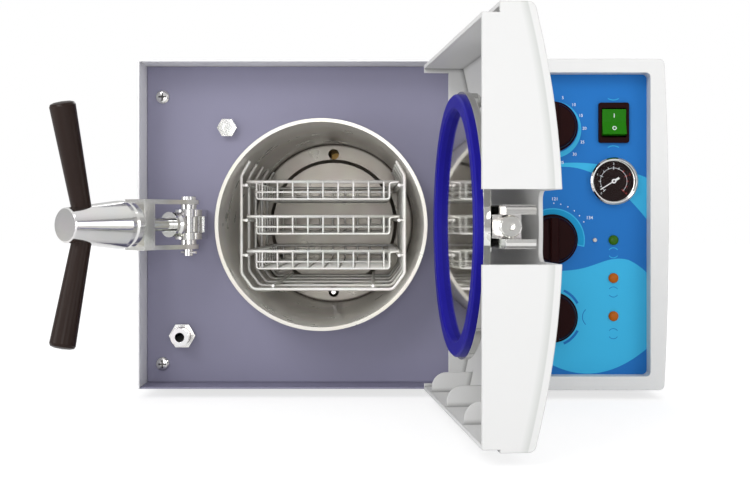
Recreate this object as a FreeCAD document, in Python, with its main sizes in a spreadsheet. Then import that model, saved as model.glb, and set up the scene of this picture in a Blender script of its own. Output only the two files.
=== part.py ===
# Tabletop steam autoclave with a front-opening round chamber, a side-hinged
# door with a swing clamp, three wire baskets and a control panel.
# Lengths are in millimetres. The front faces -Y and +Z is up.
import FreeCAD
import Part
import Sketcher
import os

doc = FreeCAD.newDocument("autoclave")

# Driving dimensions. Every size that can be set by itself has one row here.
SIZES = [
    ("sheet_wall", 1.5, "sheet metal of the housing"),
    ("mould_wall", 3.0, "wall of the moulded plastic parts"),
    ("seat_gap", 0.3, "gap between pieces that rest on each other"),
    ("run_gap", 0.05, "radial running clearance of a pin in its bore"),
    ("body_width", 462.0, "housing, side to side"),
    ("body_height", 290.0, "housing, without feet"),
    ("body_depth", 400.0, "housing, front edge to back"),
    ("foot_height", 8.0, "rubber foot"),
    ("foot_radius", 14.0, "rubber foot at its sole"),
    ("foot_inset", 40.0, "foot centre from the housing's edges"),
    ("panel_recess", 35.0, "front panel behind the housing's front edge"),
    ("tongue_setback", 2.0, "base pan behind the housing's front edge"),
    ("chamber_inset", 162.0, "chamber axis from the left side"),
    ("chamber_bore", 89.5, "inner radius of the pressure vessel"),
    ("chamber_wall", 3.2, "wall of the pressure vessel"),
    ("chamber_spare", 66.0, "inside depth of the vessel beyond a basket's length"),
    ("chamber_proud", 47.0, "vessel rim in front of the front panel"),
    ("end_step", 4.0, "raised middle of the vessel's end plate"),
    ("end_middle", 68.0, "radius of the end plate's raised middle"),
    ("port_offset", 78.0, "steam ports from the chamber axis"),
    ("port_radius", 6.0, "steam port"),
    ("hinge_reach", 117.0, "door and clamp pivots from the chamber axis"),
    ("hinge_stand", 36.0, "door hinge axis in front of the housing edge"),
    ("pin_radius", 5.0, "door hinge pin"),
    ("bezel_width", 141.0, "control bezel, side to side"),
    ("bezel_proud", 6.0, "bezel in front of the housing edge"),
    ("bezel_border", 12.0, "frame around the control plate"),
    ("bezel_bulge", 4.0, "bow of the bezel's outer side"),
    ("bezel_recess", 15.0, "control plate behind the bezel's face"),
    ("plate_wall", 2.0, "control plate"),
    ("knob_radius", 22.4, "control knob"),
    ("knob_height", 17.0, "control knob"),
    ("knob_inset", 45.0, "knob column from the bezel's left side"),
    ("switch_inset", 99.5, "switch column from the bezel's left side"),
    ("wire", 3.0, "rack and basket rim wire"),
    ("mesh_wire", 1.8, "basket mesh wire"),
    ("rack_half_width", 75.0, "rack frame, centre to side wire"),
    ("rack_floor_half", 60.0, "half of the rack frame's floor run"),
    ("rack_floor_drop", 60.0, "rack floor wires below the chamber axis"),
    ("rack_top_half", 66.0, "rack frame's upper ends from the centre"),
    ("rack_top_rise", 57.0, "rack frame's upper ends above the axis"),
    ("rack_shoulder", 44.0, "upper bend of the frame above the axis"),
    ("rack_spare", 6.0, "rack, first frame to last, beyond a basket's length"),
    ("rack_setback", 36.0, "first frame behind the vessel rim"),
    ("basket_rim_half", 70.0, "half width over the basket's rim"),
    ("basket_half", 61.0, "half width of the basket's mesh"),
    ("basket_length", 250.0, "basket, front to back"),
    ("basket_height", 18.0, "basket, rim to floor"),
    ("basket_pitch", 31.5, "one basket above the next"),
    ("basket_top_rise", 40.0, "upper basket's rim above the axis"),
    ("door_angle", 95.5, "door at rest, from closed"),
    ("clamp_angle", 37.5, "clamp at rest, out from straight ahead"),
    ("cover_width", 257.0, "door cover, free end from the hinge axis"),
    ("cover_tail", 12.0, "door cover, past the hinge axis"),
    ("cover_half_height", 138.5, "half of the door cover's height"),
    ("cover_rim", 27.0, "door cover's rim behind the hinge axis"),
    ("cover_front", 25.3, "door cover's face in front of the hinge axis"),
    ("cover_sag", 17.0, "how far the cover's face falls back at its edges"),
    ("lid_step", 5.2, "cover's face beyond its side walls, above and below"),
    ("lid_setback", 11.6, "edge of the cover's face in from its rim"),
    ("lid_band", 4.4, "band along the cover's face at its free end"),
    ("rib_high", 17.5, "ribs on the cover's lower wall"),
    ("stud_spread", 62.0, "cover studs, either way from the door's middle"),
    ("edge_bolt_rise", 93.0, "bolt near the door plate's upper edge"),
    ("notch_half", 24.0, "half height of the cover's clamp notch"),
    ("notch_deep", 54.0, "clamp notch in from the free end"),
    ("seal_inner", 86.5, "door seal, inner radius"),
    ("seal_outer", 98.0, "door seal, outer radius"),
    ("seal_thick", 8.0, "door seal, front to back"),
    ("seal_groove", 2.5, "groove in the door plate that holds the seal"),
    ("door_plate_radius", 100.0, "door plate"),
    ("door_plate_wall", 5.5, "door plate"),
    ("arm_half_deep", 10.0, "half of the door arm, front to back"),
    ("arm_slot", 8.0, "half of the arm's slot"),
    ("arm_bar", 6.5, "height of each of the arm's two bars"),
    ("arm_overhang", 15.0, "fork's end past the clamp axis"),
    ("ear_wall", 6.0, "hinge bracket's ears"),
    ("screw_radius", 6.0, "clamp screw"),
    ("clamp_pin_radius", 4.0, "clamp pivot pin"),
    ("clamp_block_half", 13.0, "half height of the clamp bracket"),
    ("clamp_block_radius", 12.0, "clamp bracket's rounded nose"),
    ("eye_half", 6.8, "half height of the clamp screw's eye"),
    ("yoke_inner", 17.5, "half of the gap in the yoke"),
    ("yoke_wall", 4.0, "yoke's arms"),
    ("yoke_reach", 62.0, "yoke's end from the clamp pivot"),
    ("yoke_block", 12.0, "yoke's cross block, front to back"),
    ("hub_length", 71.5, "clamp handle's hub"),
    ("hub_radius", 20.0, "hub at its wide end"),
    ("hub_nose", 14.0, "hub at its narrow end"),
    ("grip_station", 52.0, "handle grips along the hub"),
    ("grip_root", 8.0, "radius of a handle grip at the hub"),
    ("grip_end", 10.4, "radius of a handle grip at its end"),
    ("grip_length", 100.0, "handle grip, from the hub's axis"),
    ("grip_tilt", 13.0, "handle grips lean outwards, degrees"),
    ("timer_rise", 86.5, "timer knob above the chamber axis"),
    ("temperature_rise", -13.4, "temperature knob above the chamber axis"),
    ("selector_rise", -82.2, "selector knob above the chamber axis"),
    ("switch_rise", 90.1, "power switch above the chamber axis"),
    ("gauge_rise", 38.3, "pressure gauge above the chamber axis"),
    ("gauge_radius", 21.0, "pressure gauge's rim"),
    ("needle_angle", 238.0, "gauge needle at rest, clockwise from upright"),
    ("power_lamp_rise", -13.9, "power lamp above the chamber axis"),
    ("dry_lamp_rise", -47.6, "drying lamp above the chamber axis"),
    ("heat_lamp_rise", -81.4, "heating lamp above the chamber axis"),
    ("lamp_radius", 4.4, "indicator lamp"),
    ("reset_inset", 83.0, "reset button from the bezel's left side"),
    ("drain_inset", 34.7, "drain nozzle from the left side"),
    ("drain_drop", 100.8, "drain nozzle below the chamber axis"),
    ("drain_reach", 22.0, "drain nozzle in front of the panel"),
    ("plug_inset", 75.0, "door sensor bolt from the left side"),
    ("plug_rise", 87.5, "door sensor bolt above the chamber axis"),
    ("screw_inset", 16.0, "panel screws from the left side"),
    ("upper_screw_rise", 115.7, "upper panel screw above the chamber axis"),
    ("lower_screw_rise", -127.0, "lower panel screw above the chamber axis"),
]

sheet = doc.addObject("Spreadsheet::Sheet", "size")
for row, (alias, number, note) in enumerate(SIZES, start=1):
    sheet.set(f"A{row}", note)
    sheet.set(f"B{row}", str(number))
    sheet.setAlias(f"B{row}", alias)
doc.recompute()

# Each kept sub-part, in the order in which it is built.
PARTS = []

# Places that several pieces share, as formulas of the driving dimensions.
LEFT = "(-size.body_width / 2)"
RIGHT = "(size.body_width / 2)"
FLOOR = "size.foot_height"
TOP = "(size.foot_height + size.body_height)"
AXIS_X = "(size.chamber_inset - size.body_width / 2)"
AXIS_Z = "(size.foot_height + size.body_height / 2)"
DEPTH = "(size.basket_length + size.chamber_spare)"
PANEL_Y = "size.panel_recess"
RIM_Y = "(size.panel_recess - size.chamber_proud)"
VESSEL_R = "(size.chamber_bore + size.chamber_wall)"
BEZEL_X = "(size.body_width / 2 - size.bezel_width)"
FACE_Y = "(-size.bezel_proud)"
PLATE_Y = "(size.bezel_recess - size.bezel_proud)"

PLATE_X = f"({BEZEL_X} + size.bezel_border)"
PLATE_WIDE = "(size.bezel_width - 2 * size.bezel_border)"
PLATE_HIGH = "(size.body_height - 2 * size.bezel_border)"
HINGE_X = f"({AXIS_X} + size.hinge_reach)"
HINGE_Y = "(-size.hinge_stand)"
CLAMP_X = f"({AXIS_X} - size.hinge_reach)"
DRAIN_X = f"({LEFT} + size.drain_inset)"
DRAIN_Z = f"({AXIS_Z} - size.drain_drop)"
PLUG_X = f"({LEFT} + size.plug_inset)"
PLUG_Z = f"({AXIS_Z} + size.plug_rise)"
VALVE_X = AXIS_X
VALVE_Z = f"({AXIS_Z} + size.port_offset)"
INLET_X = f"({RIGHT} - 70)"
INLET_Z = f"({FLOOR} + 50)"

FACING = {
    "+X": FreeCAD.Rotation(FreeCAD.Vector(0, 1, 0), 90),
    "-X": FreeCAD.Rotation(FreeCAD.Vector(0, 1, 0), -90),
    "+Y": FreeCAD.Rotation(FreeCAD.Vector(1, 0, 0), -90),
    "-Y": FreeCAD.Rotation(FreeCAD.Vector(1, 0, 0), 90),
    "+Z": FreeCAD.Rotation(),
    "-Z": FreeCAD.Rotation(FreeCAD.Vector(1, 0, 0), 180),
}


def value(formula):
    """The number that a formula of the driving dimensions gives."""
    return float(sheet.evalExpression(str(formula)))


def bind(item, **formulas):
    """Bind properties of an object to formulas of the driving dimensions."""
    for name, formula in formulas.items():
        item.setExpression(name, str(formula))


def place(item, x, y, z, facing="+Z"):
    """Bind an object's position, and turn its own +Z to face a direction."""
    item.Placement = FreeCAD.Placement(FreeCAD.Vector(), FACING[facing])
    for axis, formula in zip("xyz", (x, y, z)):
        item.setExpression(f"Placement.Base.{axis}", str(formula))
    return item


def block(x, y, z, length, width, height):
    """A box from its low corner and its three sizes."""
    item = doc.addObject("Part::Box", "block")
    bind(item, Length=length, Width=width, Height=height)
    return place(item, x, y, z)


def rod(x, y, z, facing, radius, length):
    """A round bar that starts at a point and runs the way it faces."""
    item = doc.addObject("Part::Cylinder", "rod")
    bind(item, Radius=radius, Height=length)
    return place(item, x, y, z, facing)


def taper(x, y, z, facing, start_radius, end_radius, length):
    """A round taper that starts at a point and runs the way it faces."""
    item = doc.addObject("Part::Cone", "taper")
    bind(item, Radius1=start_radius, Radius2=end_radius, Height=length)
    return place(item, x, y, z, facing)


def hexagon(x, y, z, facing, corner_radius, length):
    """A six-sided bar, as a nut or a bolt head."""
    item = doc.addObject("Part::Prism", "hexagon")
    item.Polygon = 6
    bind(item, Circumradius=corner_radius, Height=length)
    return place(item, x, y, z, facing)


def fuse(pieces):
    """One solid of several."""
    item = doc.addObject("Part::MultiFuse", "fuse")
    item.Shapes = pieces
    item.Refine = True
    return item


def cut(base, tools):
    """A solid less one or more others."""
    item = doc.addObject("Part::Cut", "cut")
    item.Base = base
    item.Tool = tools[0] if len(tools) == 1 else fuse(tools)
    item.Refine = True
    return item


def common(first, second):
    """What two solids share."""
    item = doc.addObject("Part::Common", "common")
    item.Base = first
    item.Tool = second
    return item


def round_edges(base, radius, wanted):
    """Round the straight edges of a solid that a test picks."""
    doc.recompute()
    picked = []
    for number, edge in enumerate(base.Shape.Edges, start=1):
        if edge.Curve.TypeId == "Part::GeomLine" and wanted(edge):
            picked.append((number, radius, radius))
    item = doc.addObject("Part::Fillet", "rounded")
    item.Base = base
    item.Edges = picked
    return item


def along(direction):
    """A test for edges that run along X, Y or Z."""
    axis = "XYZ".index(direction)
    return lambda edge: abs(edge.tangentAt(edge.FirstParameter)[axis]) > 0.999


def keep(item, label):
    """Name a finished sub-part and hand it in."""
    item.Label = label
    PARTS.append(item)
    return item


def origin_plane(body, role):
    """One of a body's own origin planes."""
    return next(f for f in body.Origin.OriginFeatures if f.Role == role)


def sketch_on(body, name, role, offset="0"):
    """An empty sketch on one of the body's origin planes."""
    sketch = body.newObject("Sketcher::SketchObject", name)
    sketch.AttachmentSupport = [(origin_plane(body, role), "")]
    sketch.MapMode = "FlatFace"
    sketch.setExpression("AttachmentOffset.Base.z", offset)
    return sketch


def outline(sketch, corners):
    """A closed outline whose corners are bound to pairs of formulas."""
    points = [FreeCAD.Vector(value(u), value(v), 0) for u, v in corners]
    for number, point in enumerate(points):
        after = points[(number + 1) % len(points)]
        sketch.addGeometry(Part.LineSegment(point, after), False)
    for number in range(len(corners)):
        after = (number + 1) % len(corners)
        sketch.addConstraint(Sketcher.Constraint("Coincident", number, 2, after, 1))
    for number, (u, v) in enumerate(corners):
        for kind, formula in (("DistanceX", u), ("DistanceY", v)):
            rule = Sketcher.Constraint(kind, -1, 1, number, 1, value(formula))
            index = sketch.addConstraint(rule)
            sketch.setExpression(f"Constraints[{index}]", str(formula))


def rectangle(sketch, low_u, low_v, high_u, high_v):
    """A rectangular outline from its low and high corners."""
    outline(sketch, [(low_u, low_v), (high_u, low_v), (high_u, high_v), (low_u, high_v)])


def turned(label, profile, x, y, z, facing):
    """A turned piece: pairs of radius and height, spun about its own axis."""
    body = doc.addObject("PartDesign::Body", label)
    sketch = sketch_on(body, "profile", "XZ_Plane")
    outline(sketch, profile)
    spin = body.newObject("PartDesign::Revolution", "spin")
    spin.Profile = sketch
    spin.ReferenceAxis = (sketch, ["V_Axis"])
    spin.Angle = 360
    place(body, x, y, z, facing)
    doc.recompute()
    return body


# Housing: an inverted U of sheet metal, closed by a base pan, a recessed
# front panel, a back panel with louvres and four rubber feet.
INSIDE = f"({RIGHT} - size.sheet_wall - size.seat_gap)"


def make_top_cover():
    outer = block(LEFT, "0", FLOOR, "size.body_width", "size.body_depth", "size.body_height")
    hollow = block(f"{LEFT} + size.sheet_wall", "-1", f"{FLOOR} - 1",
                   "size.body_width - 2 * size.sheet_wall", "size.body_depth + 2",
                   "size.body_height + 1 - size.sheet_wall")
    fill_hole = rod(TANK_X, TANK_Y, f"{TOP} - 10", "+Z", f"{NECK_R} + 1", "20")
    keep(cut(outer, [hollow, fill_hole]), "top_cover")


def make_base_pan():
    across = f"(2 * {INSIDE})"
    deep = "(size.body_depth - size.panel_recess - 3 * size.sheet_wall - 2 * size.seat_gap)"
    front = f"({PANEL_Y} + size.sheet_wall + size.seat_gap)"
    outer = block(f"-{INSIDE}", front, FLOOR, across, deep, "20")
    hollow = block(f"-{INSIDE} + size.sheet_wall", f"{front} + size.sheet_wall",
                   f"{FLOOR} + size.sheet_wall", f"{across} - 2 * size.sheet_wall",
                   f"{deep} - 2 * size.sheet_wall", "30")
    tongue = block(f"-{INSIDE}", "size.tongue_setback", FLOOR,
                   f"{BEZEL_X} + {INSIDE} - size.seat_gap", f"{front} + 1 - size.tongue_setback",
                   "size.sheet_wall")
    bay = f"({BEZEL_X} + size.mould_wall + size.seat_gap)"
    bay_floor = block(bay, "size.tongue_setback", FLOOR, f"{INSIDE} - {bay}",
                      f"{front} + 1 - size.tongue_setback", "size.sheet_wall")
    keep(fuse([cut(outer, [hollow]), tongue, bay_floor]), "base_pan")


def make_front_panel():
    low = f"({FLOOR} + size.sheet_wall + size.seat_gap)"
    high = "(size.body_height - 2 * (size.sheet_wall + size.seat_gap))"
    across = f"({BEZEL_X} + size.mould_wall + {INSIDE})"
    face = block(f"-{INSIDE}", PANEL_Y, low, across, "size.sheet_wall", high)
    hole = rod(AXIS_X, f"{PANEL_Y} - 5", AXIS_Z, "+Y", f"{VESSEL_R} + 0.5", "20")
    drain = rod(DRAIN_X, f"{PANEL_Y} - 5", DRAIN_Z, "+Y", "6.3", "20")
    keep(cut(face, [hole, drain]), "front_panel")


def make_back_panel():
    body = doc.addObject("PartDesign::Body", "back_sheet")
    outer = sketch_on(body, "outer", "XZ_Plane")
    rectangle(outer, f"-{INSIDE}", FLOOR, INSIDE, f"{TOP} - size.sheet_wall - size.seat_gap")
    pad = body.newObject("PartDesign::Pad", "sheet_pad")
    pad.Profile = outer
    bind(pad, Length="size.sheet_wall")
    pad.Reversed = True
    doc.recompute()
    slot = sketch_on(body, "slot", "XZ_Plane")
    rectangle(slot, "-size.body_width / 2 + 50", f"{TOP} - 80", "-size.body_width / 2 + 120",
              f"{TOP} - 75")
    louvre = body.newObject("PartDesign::Pocket", "louvre")
    louvre.Profile = slot
    louvre.Type = 1
    louvre.Midplane = True
    pattern = body.newObject("PartDesign::LinearPattern", "louvres")
    pattern.Originals = [louvre]
    pattern.Direction = (slot, ["V_Axis"])
    pattern.Reversed = True
    bind(pattern, Length="90")
    pattern.Occurrences = 9
    body.Tip = pattern
    place(body, "0", "size.body_depth - size.sheet_wall", "0")
    doc.recompute()
    inlet = block(f"{INLET_X} - 14", "size.body_depth - 20", f"{INLET_Z} - 10", "28", "40", "20")
    valve = rod(VALVE_X, "size.body_depth - 20", VALVE_Z, "+Y", "8.3", "40")
    keep(cut(body, [inlet, valve]), "back_panel")


def make_feet():
    soles = []
    for x in (f"{LEFT} + size.foot_inset", f"{RIGHT} - size.foot_inset"):
        for y in (f"{PANEL_Y} + size.foot_inset", "size.body_depth - size.foot_inset"):
            soles.append(taper(x, y, "0", "+Z", "size.foot_radius - 1", "size.foot_radius",
                               "size.foot_height"))
    feet = doc.addObject("Part::Compound", "feet")
    feet.Links = soles
    keep(feet, "feet")


# Pressure vessel: a drawn stainless pot whose rim stands out of the panel,
# on two saddles, with a heater band round it and two steam ports.
def make_vessel():
    depth = DEPTH
    pot = turned("vessel_pot", [
        ("size.chamber_bore", "0"),
        (VESSEL_R, "0"),
        (VESSEL_R, f"{depth} + size.chamber_wall"),
        ("0", f"{depth} + size.chamber_wall"),
        ("0", f"{depth} - size.end_step"),
        ("size.end_middle", f"{depth} - size.end_step"),
        ("size.end_middle + size.end_step", depth),
        ("size.chamber_bore", depth),
    ], AXIS_X, RIM_Y, AXIS_Z, "+Y")
    back = f"{RIM_Y} + {depth} - 5"
    port = rod(AXIS_X, back, f"{AXIS_Z} + size.port_offset", "+Y", "size.port_radius", "20")
    strainer = rod(AXIS_X, back, f"{AXIS_Z} - size.port_offset", "+Y", "3", "20")
    keep(cut(pot, [port, strainer]), "pressure_vessel")
    keep(turned("strainer_nut", [
        ("0", "-4.5"), ("2.5", "-4.5"), ("5", "-2.5"), ("6", "0"),
        ("2.95", "0"), ("2.95", "3"), ("0", "3"),
    ], AXIS_X, f"{RIM_Y} + {depth}", f"{AXIS_Z} - size.port_offset", "+Y"), "strainer_nut")


def make_vessel_carriers():
    for label, y in (("front_saddle", f"{PANEL_Y} + 45"),
                     ("rear_saddle", f"{RIM_Y} + {DEPTH} - 49")):
        foot = f"({FLOOR} + size.sheet_wall)"
        plate = block(f"{AXIS_X} - 60", y, foot, "120", "3", f"{AXIS_Z} - {foot} - 40")
        lap = block(f"{AXIS_X} - 60", y, foot, "120", "18", "3")
        bed = rod(AXIS_X, f"{y} - 5", AXIS_Z, "+Y", f"{VESSEL_R} + size.seat_gap", "40")
        keep(cut(fuse([plate, lap]), [bed]), label)
    inner = f"({VESSEL_R} + size.seat_gap)"
    keep(turned("heater_band", [
        (inner, "0"), (f"{inner} + 4", "0"), (f"{inner} + 4", "90"), (inner, "90"),
    ], AXIS_X, f"{PANEL_Y} + 85", AXIS_Z, "+Y"), "heater_band")


# Water tank: a sheet steel box under the housing's top, hung from it, with a
# filling neck and a lid.
TANK_X = "(-110)"
TANK_Y = "(size.body_depth - 100)"
NECK_R = "25"


def make_tank():
    high = f"({TOP} - size.sheet_wall - size.seat_gap)"
    low = f"({AXIS_Z} + {VESSEL_R} + 6)"
    outer = block(f"-{INSIDE} + 4", "70", low, "285", "size.body_depth - 110", f"{high} - {low}")
    room = block(f"-{INSIDE} + 6", "72", f"{low} + 2", "281", "size.body_depth - 114",
                 f"{high} - {low} - 4")
    mouth = rod(TANK_X, TANK_Y, f"{high} - 8", "+Z", NECK_R, "20")
    keep(cut(outer, [room, mouth]), "water_tank")
    keep(turned("tank_lid", [
        ("0", "0"), (f"{NECK_R} + 8", "0"), (f"{NECK_R} + 8", "3"), (f"{NECK_R} + 5", "6"),
        ("9", "6"), ("8", "16"), ("0", "16"),
    ], TANK_X, TANK_Y, f"{TOP}", "+Z"), "tank_lid")


# Wire rack: bent frames welded to six rails and two floor wires. Three wire
# baskets hang on the rails by their rims.
RACK_Y = f"({RIM_Y} + size.rack_setback)"
SEAT_R = "(size.chamber_bore - size.seat_gap)"
CORNER_DROP = f"(-sqrt({SEAT_R} ^ 2 - size.rack_half_width ^ 2))"
MITRE = "0.41 * size.wire"
RACK_FRAMES = 5
RACK_LONG = "(size.basket_length + size.rack_spare)"
LEVELS = 3


def frame_outline():
    """One bent frame: its outer corners, then its inner ones the other way."""
    side, half = "size.rack_half_width", "size.rack_floor_half"
    rise, shoulder = "size.rack_top_rise", "size.rack_shoulder"
    outer = [("size.rack_top_half", rise), (side, shoulder), (side, CORNER_DROP),
             (half, "-size.rack_floor_drop")]
    inner = [(f"size.rack_top_half - {MITRE}", f"{rise} - size.wire"),
             (f"{side} - size.wire", f"{shoulder} - {MITRE}"),
             (f"{side} - size.wire", f"{CORNER_DROP} + {MITRE}"),
             (f"{half} - {MITRE}", "-size.rack_floor_drop + size.wire")]
    mirror = [(f"-({x})", z) for x, z in outer]
    mirror_inner = [(f"-({x})", z) for x, z in inner]
    return mirror + outer[::-1] + inner + mirror_inner[::-1]


def make_rack():
    pieces = []
    for number in range(RACK_FRAMES):
        frame = doc.addObject("PartDesign::Body", "rack_frame")
        bend = sketch_on(frame, "bend", "XZ_Plane")
        outline(bend, frame_outline())
        pad = frame.newObject("PartDesign::Pad", "wire_pad")
        pad.Profile = bend
        pad.Reversed = True
        bind(pad, Length="size.wire")
        place(frame, "0", f"{number} * {RACK_LONG} / {RACK_FRAMES - 1}", "0")
        pieces.append(frame)
    long = f"{RACK_LONG} + size.wire"
    for sign in (-1, 1):
        rail_x = f"{sign} * (size.basket_rim_half - size.wire / 2) - size.wire / 2"
        hook = "(size.rack_half_width - size.basket_rim_half)"
        hook_x = f"{sign} * (size.rack_half_width + size.basket_rim_half) / 2 - {hook} / 2"
        for level in range(LEVELS):
            z = (f"size.basket_top_rise - {level} * size.basket_pitch"
                 " - 2 * size.wire - size.seat_gap")
            pieces.append(block(rail_x, "-4", z, "size.wire", f"{long} + 8", "size.wire"))
            for number in range(RACK_FRAMES):
                y = f"{number} * {RACK_LONG} / {RACK_FRAMES - 1}"
                pieces.append(block(hook_x, y, z, hook, "size.wire", "size.wire"))
        floor_x = f"{sign} * (size.rack_floor_half - 15) - size.wire / 2"
        pieces.append(block(floor_x, "0", "size.wire - size.rack_floor_drop", "size.wire", long,
                            "size.wire"))
    rack = fuse(pieces)
    place(rack, AXIS_X, RACK_Y, AXIS_Z)
    keep(rack, "chamber_rack")


COLUMNS = 10
ROWS = 9


def make_basket(label, level):
    half, long, tall = "size.basket_half", "size.basket_length", "size.basket_height"
    thin, wire, rim = "size.mesh_wire", "size.wire", "size.basket_rim_half"
    pieces = []
    for x in (f"-{rim}", f"{rim} - {wire}"):
        pieces.append(block(x, "0", f"-{wire}", wire, long, wire))
    for y in ("0", f"{long} - {wire}"):
        pieces.append(block(f"-{rim}", y, f"-{wire}", f"2 * {rim}", wire, wire))
    for column in range(COLUMNS + 1):
        x = f"-{half} + {column} * (2 * {half} - {thin}) / {COLUMNS}"
        pieces.append(block(x, "0", f"-{tall}", thin, long, thin))
        for y in ("0", f"{long} - {thin}"):
            pieces.append(block(x, y, f"-{tall}", thin, thin, f"{tall} - {wire} / 2"))
    for row in range(ROWS + 1):
        y = f"{row} * ({long} - {thin}) / {ROWS}"
        pieces.append(block(f"-{half}", y, f"-{tall}", f"2 * {half}", thin, thin))
        ears = ((f"-{half}", f"-{rim} + {wire} / 2"),
                (f"{half} - {thin}", f"{half} - {thin}"))
        for x, ear_x in ears:
            pieces.append(block(x, y, f"-{tall}", thin, thin, f"{tall} - {wire} / 2"))
            pieces.append(block(ear_x, y, f"-({wire} + {thin}) / 2",
                                f"{rim} - {half} + {thin} - {wire} / 2", thin, thin))
    middle = f"-{tall} * 0.55"
    for x in (f"-{half}", f"{half} - {thin}"):
        pieces.append(block(x, "0", middle, thin, long, thin))
    for y in ("0", f"{long} - {thin}"):
        pieces.append(block(f"-{half}", y, middle, f"2 * {half}", thin, thin))
    basket = fuse(pieces)
    place(basket, AXIS_X, f"{RACK_Y} + {wire}",
          f"{AXIS_Z} + size.basket_top_rise - {level} * size.basket_pitch")
    keep(basket, label)


def hung(item, x, y, z, angle, label):
    """Carry a piece built about an upright pivot, and turn it on that pivot."""
    carrier = doc.addObject("Part::Compound", label)
    carrier.Links = [item]
    turn = FreeCAD.Rotation(FreeCAD.Vector(0, 0, 1), value(angle))
    carrier.Placement = FreeCAD.Placement(FreeCAD.Vector(), turn)
    for axis, formula in zip("xyz", (x, y, z)):
        carrier.setExpression(f"Placement.Base.{axis}", formula)
    carrier.setExpression("Placement.Rotation.Yaw", angle)
    keep(carrier, label)


# Door: built as if shut, with the hinge axis at its own origin, then opened.
# An arm of two bars carries the plate at its middle; the plate carries the
# seal and the moulded cover.
ARM_HALF = "(size.arm_slot + size.arm_bar)"
PLATE_IN = ("(size.panel_recess - size.chamber_proud + size.hinge_stand"
            " - size.seat_gap - size.seal_thick + size.seal_groove)")
PLATE_OUT = f"({PLATE_IN} - size.door_plate_wall)"
COVER_ARC = "((size.cover_half_height ^ 2 + size.cover_sag ^ 2) / (2 * size.cover_sag))"


def on_door(item, label):
    hung(item, HINGE_X, HINGE_Y, AXIS_Z, "size.door_angle", label)


def make_door_plate():
    centre = "-size.hinge_reach"
    plate = turned("plate_disc", [
        ("0", "0"),
        ("size.seal_inner - 0.1", "0"),
        ("size.seal_inner - 0.1", "size.seal_groove"),
        ("size.seal_outer + 0.1", "size.seal_groove"),
        ("size.seal_outer + 0.1", "0"),
        ("size.door_plate_radius", "0"),
        ("size.door_plate_radius", "size.door_plate_wall - 1"),
        ("size.door_plate_radius - 1", "size.door_plate_wall"),
        ("0", "size.door_plate_wall"),
    ], centre, PLATE_IN, "0", "-Y")
    on_door(plate, "door_plate")
    seal = turned("seal_ring", [
        ("size.seal_inner", "0"),
        ("size.seal_outer", "0"),
        ("size.seal_outer", "size.seal_thick - 1.5"),
        ("size.seal_outer - 1.5", "size.seal_thick"),
        ("size.seal_inner + 1.5", "size.seal_thick"),
        ("size.seal_inner", "size.seal_thick - 1.5"),
    ], centre, f"{PLATE_IN} - size.seal_groove", "0", "+Y")
    on_door(seal, "door_seal")
    boss_length = f"({PLATE_OUT} - size.arm_half_deep)"
    boss = turned("boss", [
        ("0", "0"), ("12.5", "0"), ("12.5", f"{boss_length} * 0.3"),
        ("14.5", f"{boss_length} * 0.5"), ("14.5", boss_length), ("0", boss_length),
    ], centre, PLATE_OUT, "0", "-Y")
    on_door(boss, "door_boss")


def make_door_arm():
    end = "(2 * size.hinge_reach + size.arm_overhang)"
    deep = "(2 * size.arm_half_deep)"
    tall = f"(2 * {ARM_HALF})"
    bar = block(f"-{end}", "-size.arm_half_deep", f"-{ARM_HALF}", end, deep, tall)
    knuckle = rod("0", "0", f"-{ARM_HALF}", "+Z", "size.arm_half_deep", tall)
    bore = rod("0", "0", f"-{ARM_HALF} - 1", "+Z", "size.pin_radius + size.run_gap", f"{tall} + 2")
    slot_tall = "(2 * size.arm_slot)"
    fork = block(f"-{end} - 1", "-size.arm_half_deep - 1", "-size.arm_slot",
                 f"{end} - 2 * size.hinge_reach + 31", f"{deep} + 2", slot_tall)
    window = block("-size.hinge_reach + 18", "-size.arm_half_deep - 1", "-size.arm_slot",
                   "size.hinge_reach - 18 - 22", f"{deep} + 2", slot_tall)
    arm = fuse([round_edges(bar, 4, lambda edge: along("Y")(edge)
                            and edge.Vertexes[0].Point.x < -value(end) + 1), knuckle])
    on_door(cut(arm, [bore, fork, window]), "door_arm")
    fork_root = "(30 - 2 * size.hinge_reach)"
    nut_r = "(size.arm_slot - size.seat_gap)"
    nut = turned("nut_turning", [
        ("0", "0"), (nut_r, "0"), (nut_r, "13"), (f"{nut_r} - 1", "14"), ("2.5", "14"), ("2.5", "9"),
        ("0", "9"),
    ], fork_root, "0", "0", "-X")
    on_door(nut, "arm_nut")


def cover_form(inset, low, high, back):
    """The cover's outer form between two heights to a depth, or one wall inside it."""
    form = block(f"-size.cover_width + {inset}", "-size.cover_front - 5", f"{inset} - {low}",
                 f"size.cover_width + size.cover_tail - 2 * ({inset})",
                 f"size.cover_front + 5 + {back}", f"{low} + {high} - 2 * ({inset})")
    return common(form, bow(inset, "-size.cover_width - 5",
                            "size.cover_width + size.cover_tail + 10"))


def bow(inset, x, length):
    """The round bar whose side gives the cover's face its bow."""
    return rod(x, f"{COVER_ARC} - size.cover_front", "0", "+X", f"{COVER_ARC} - {inset}", length)


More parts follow.
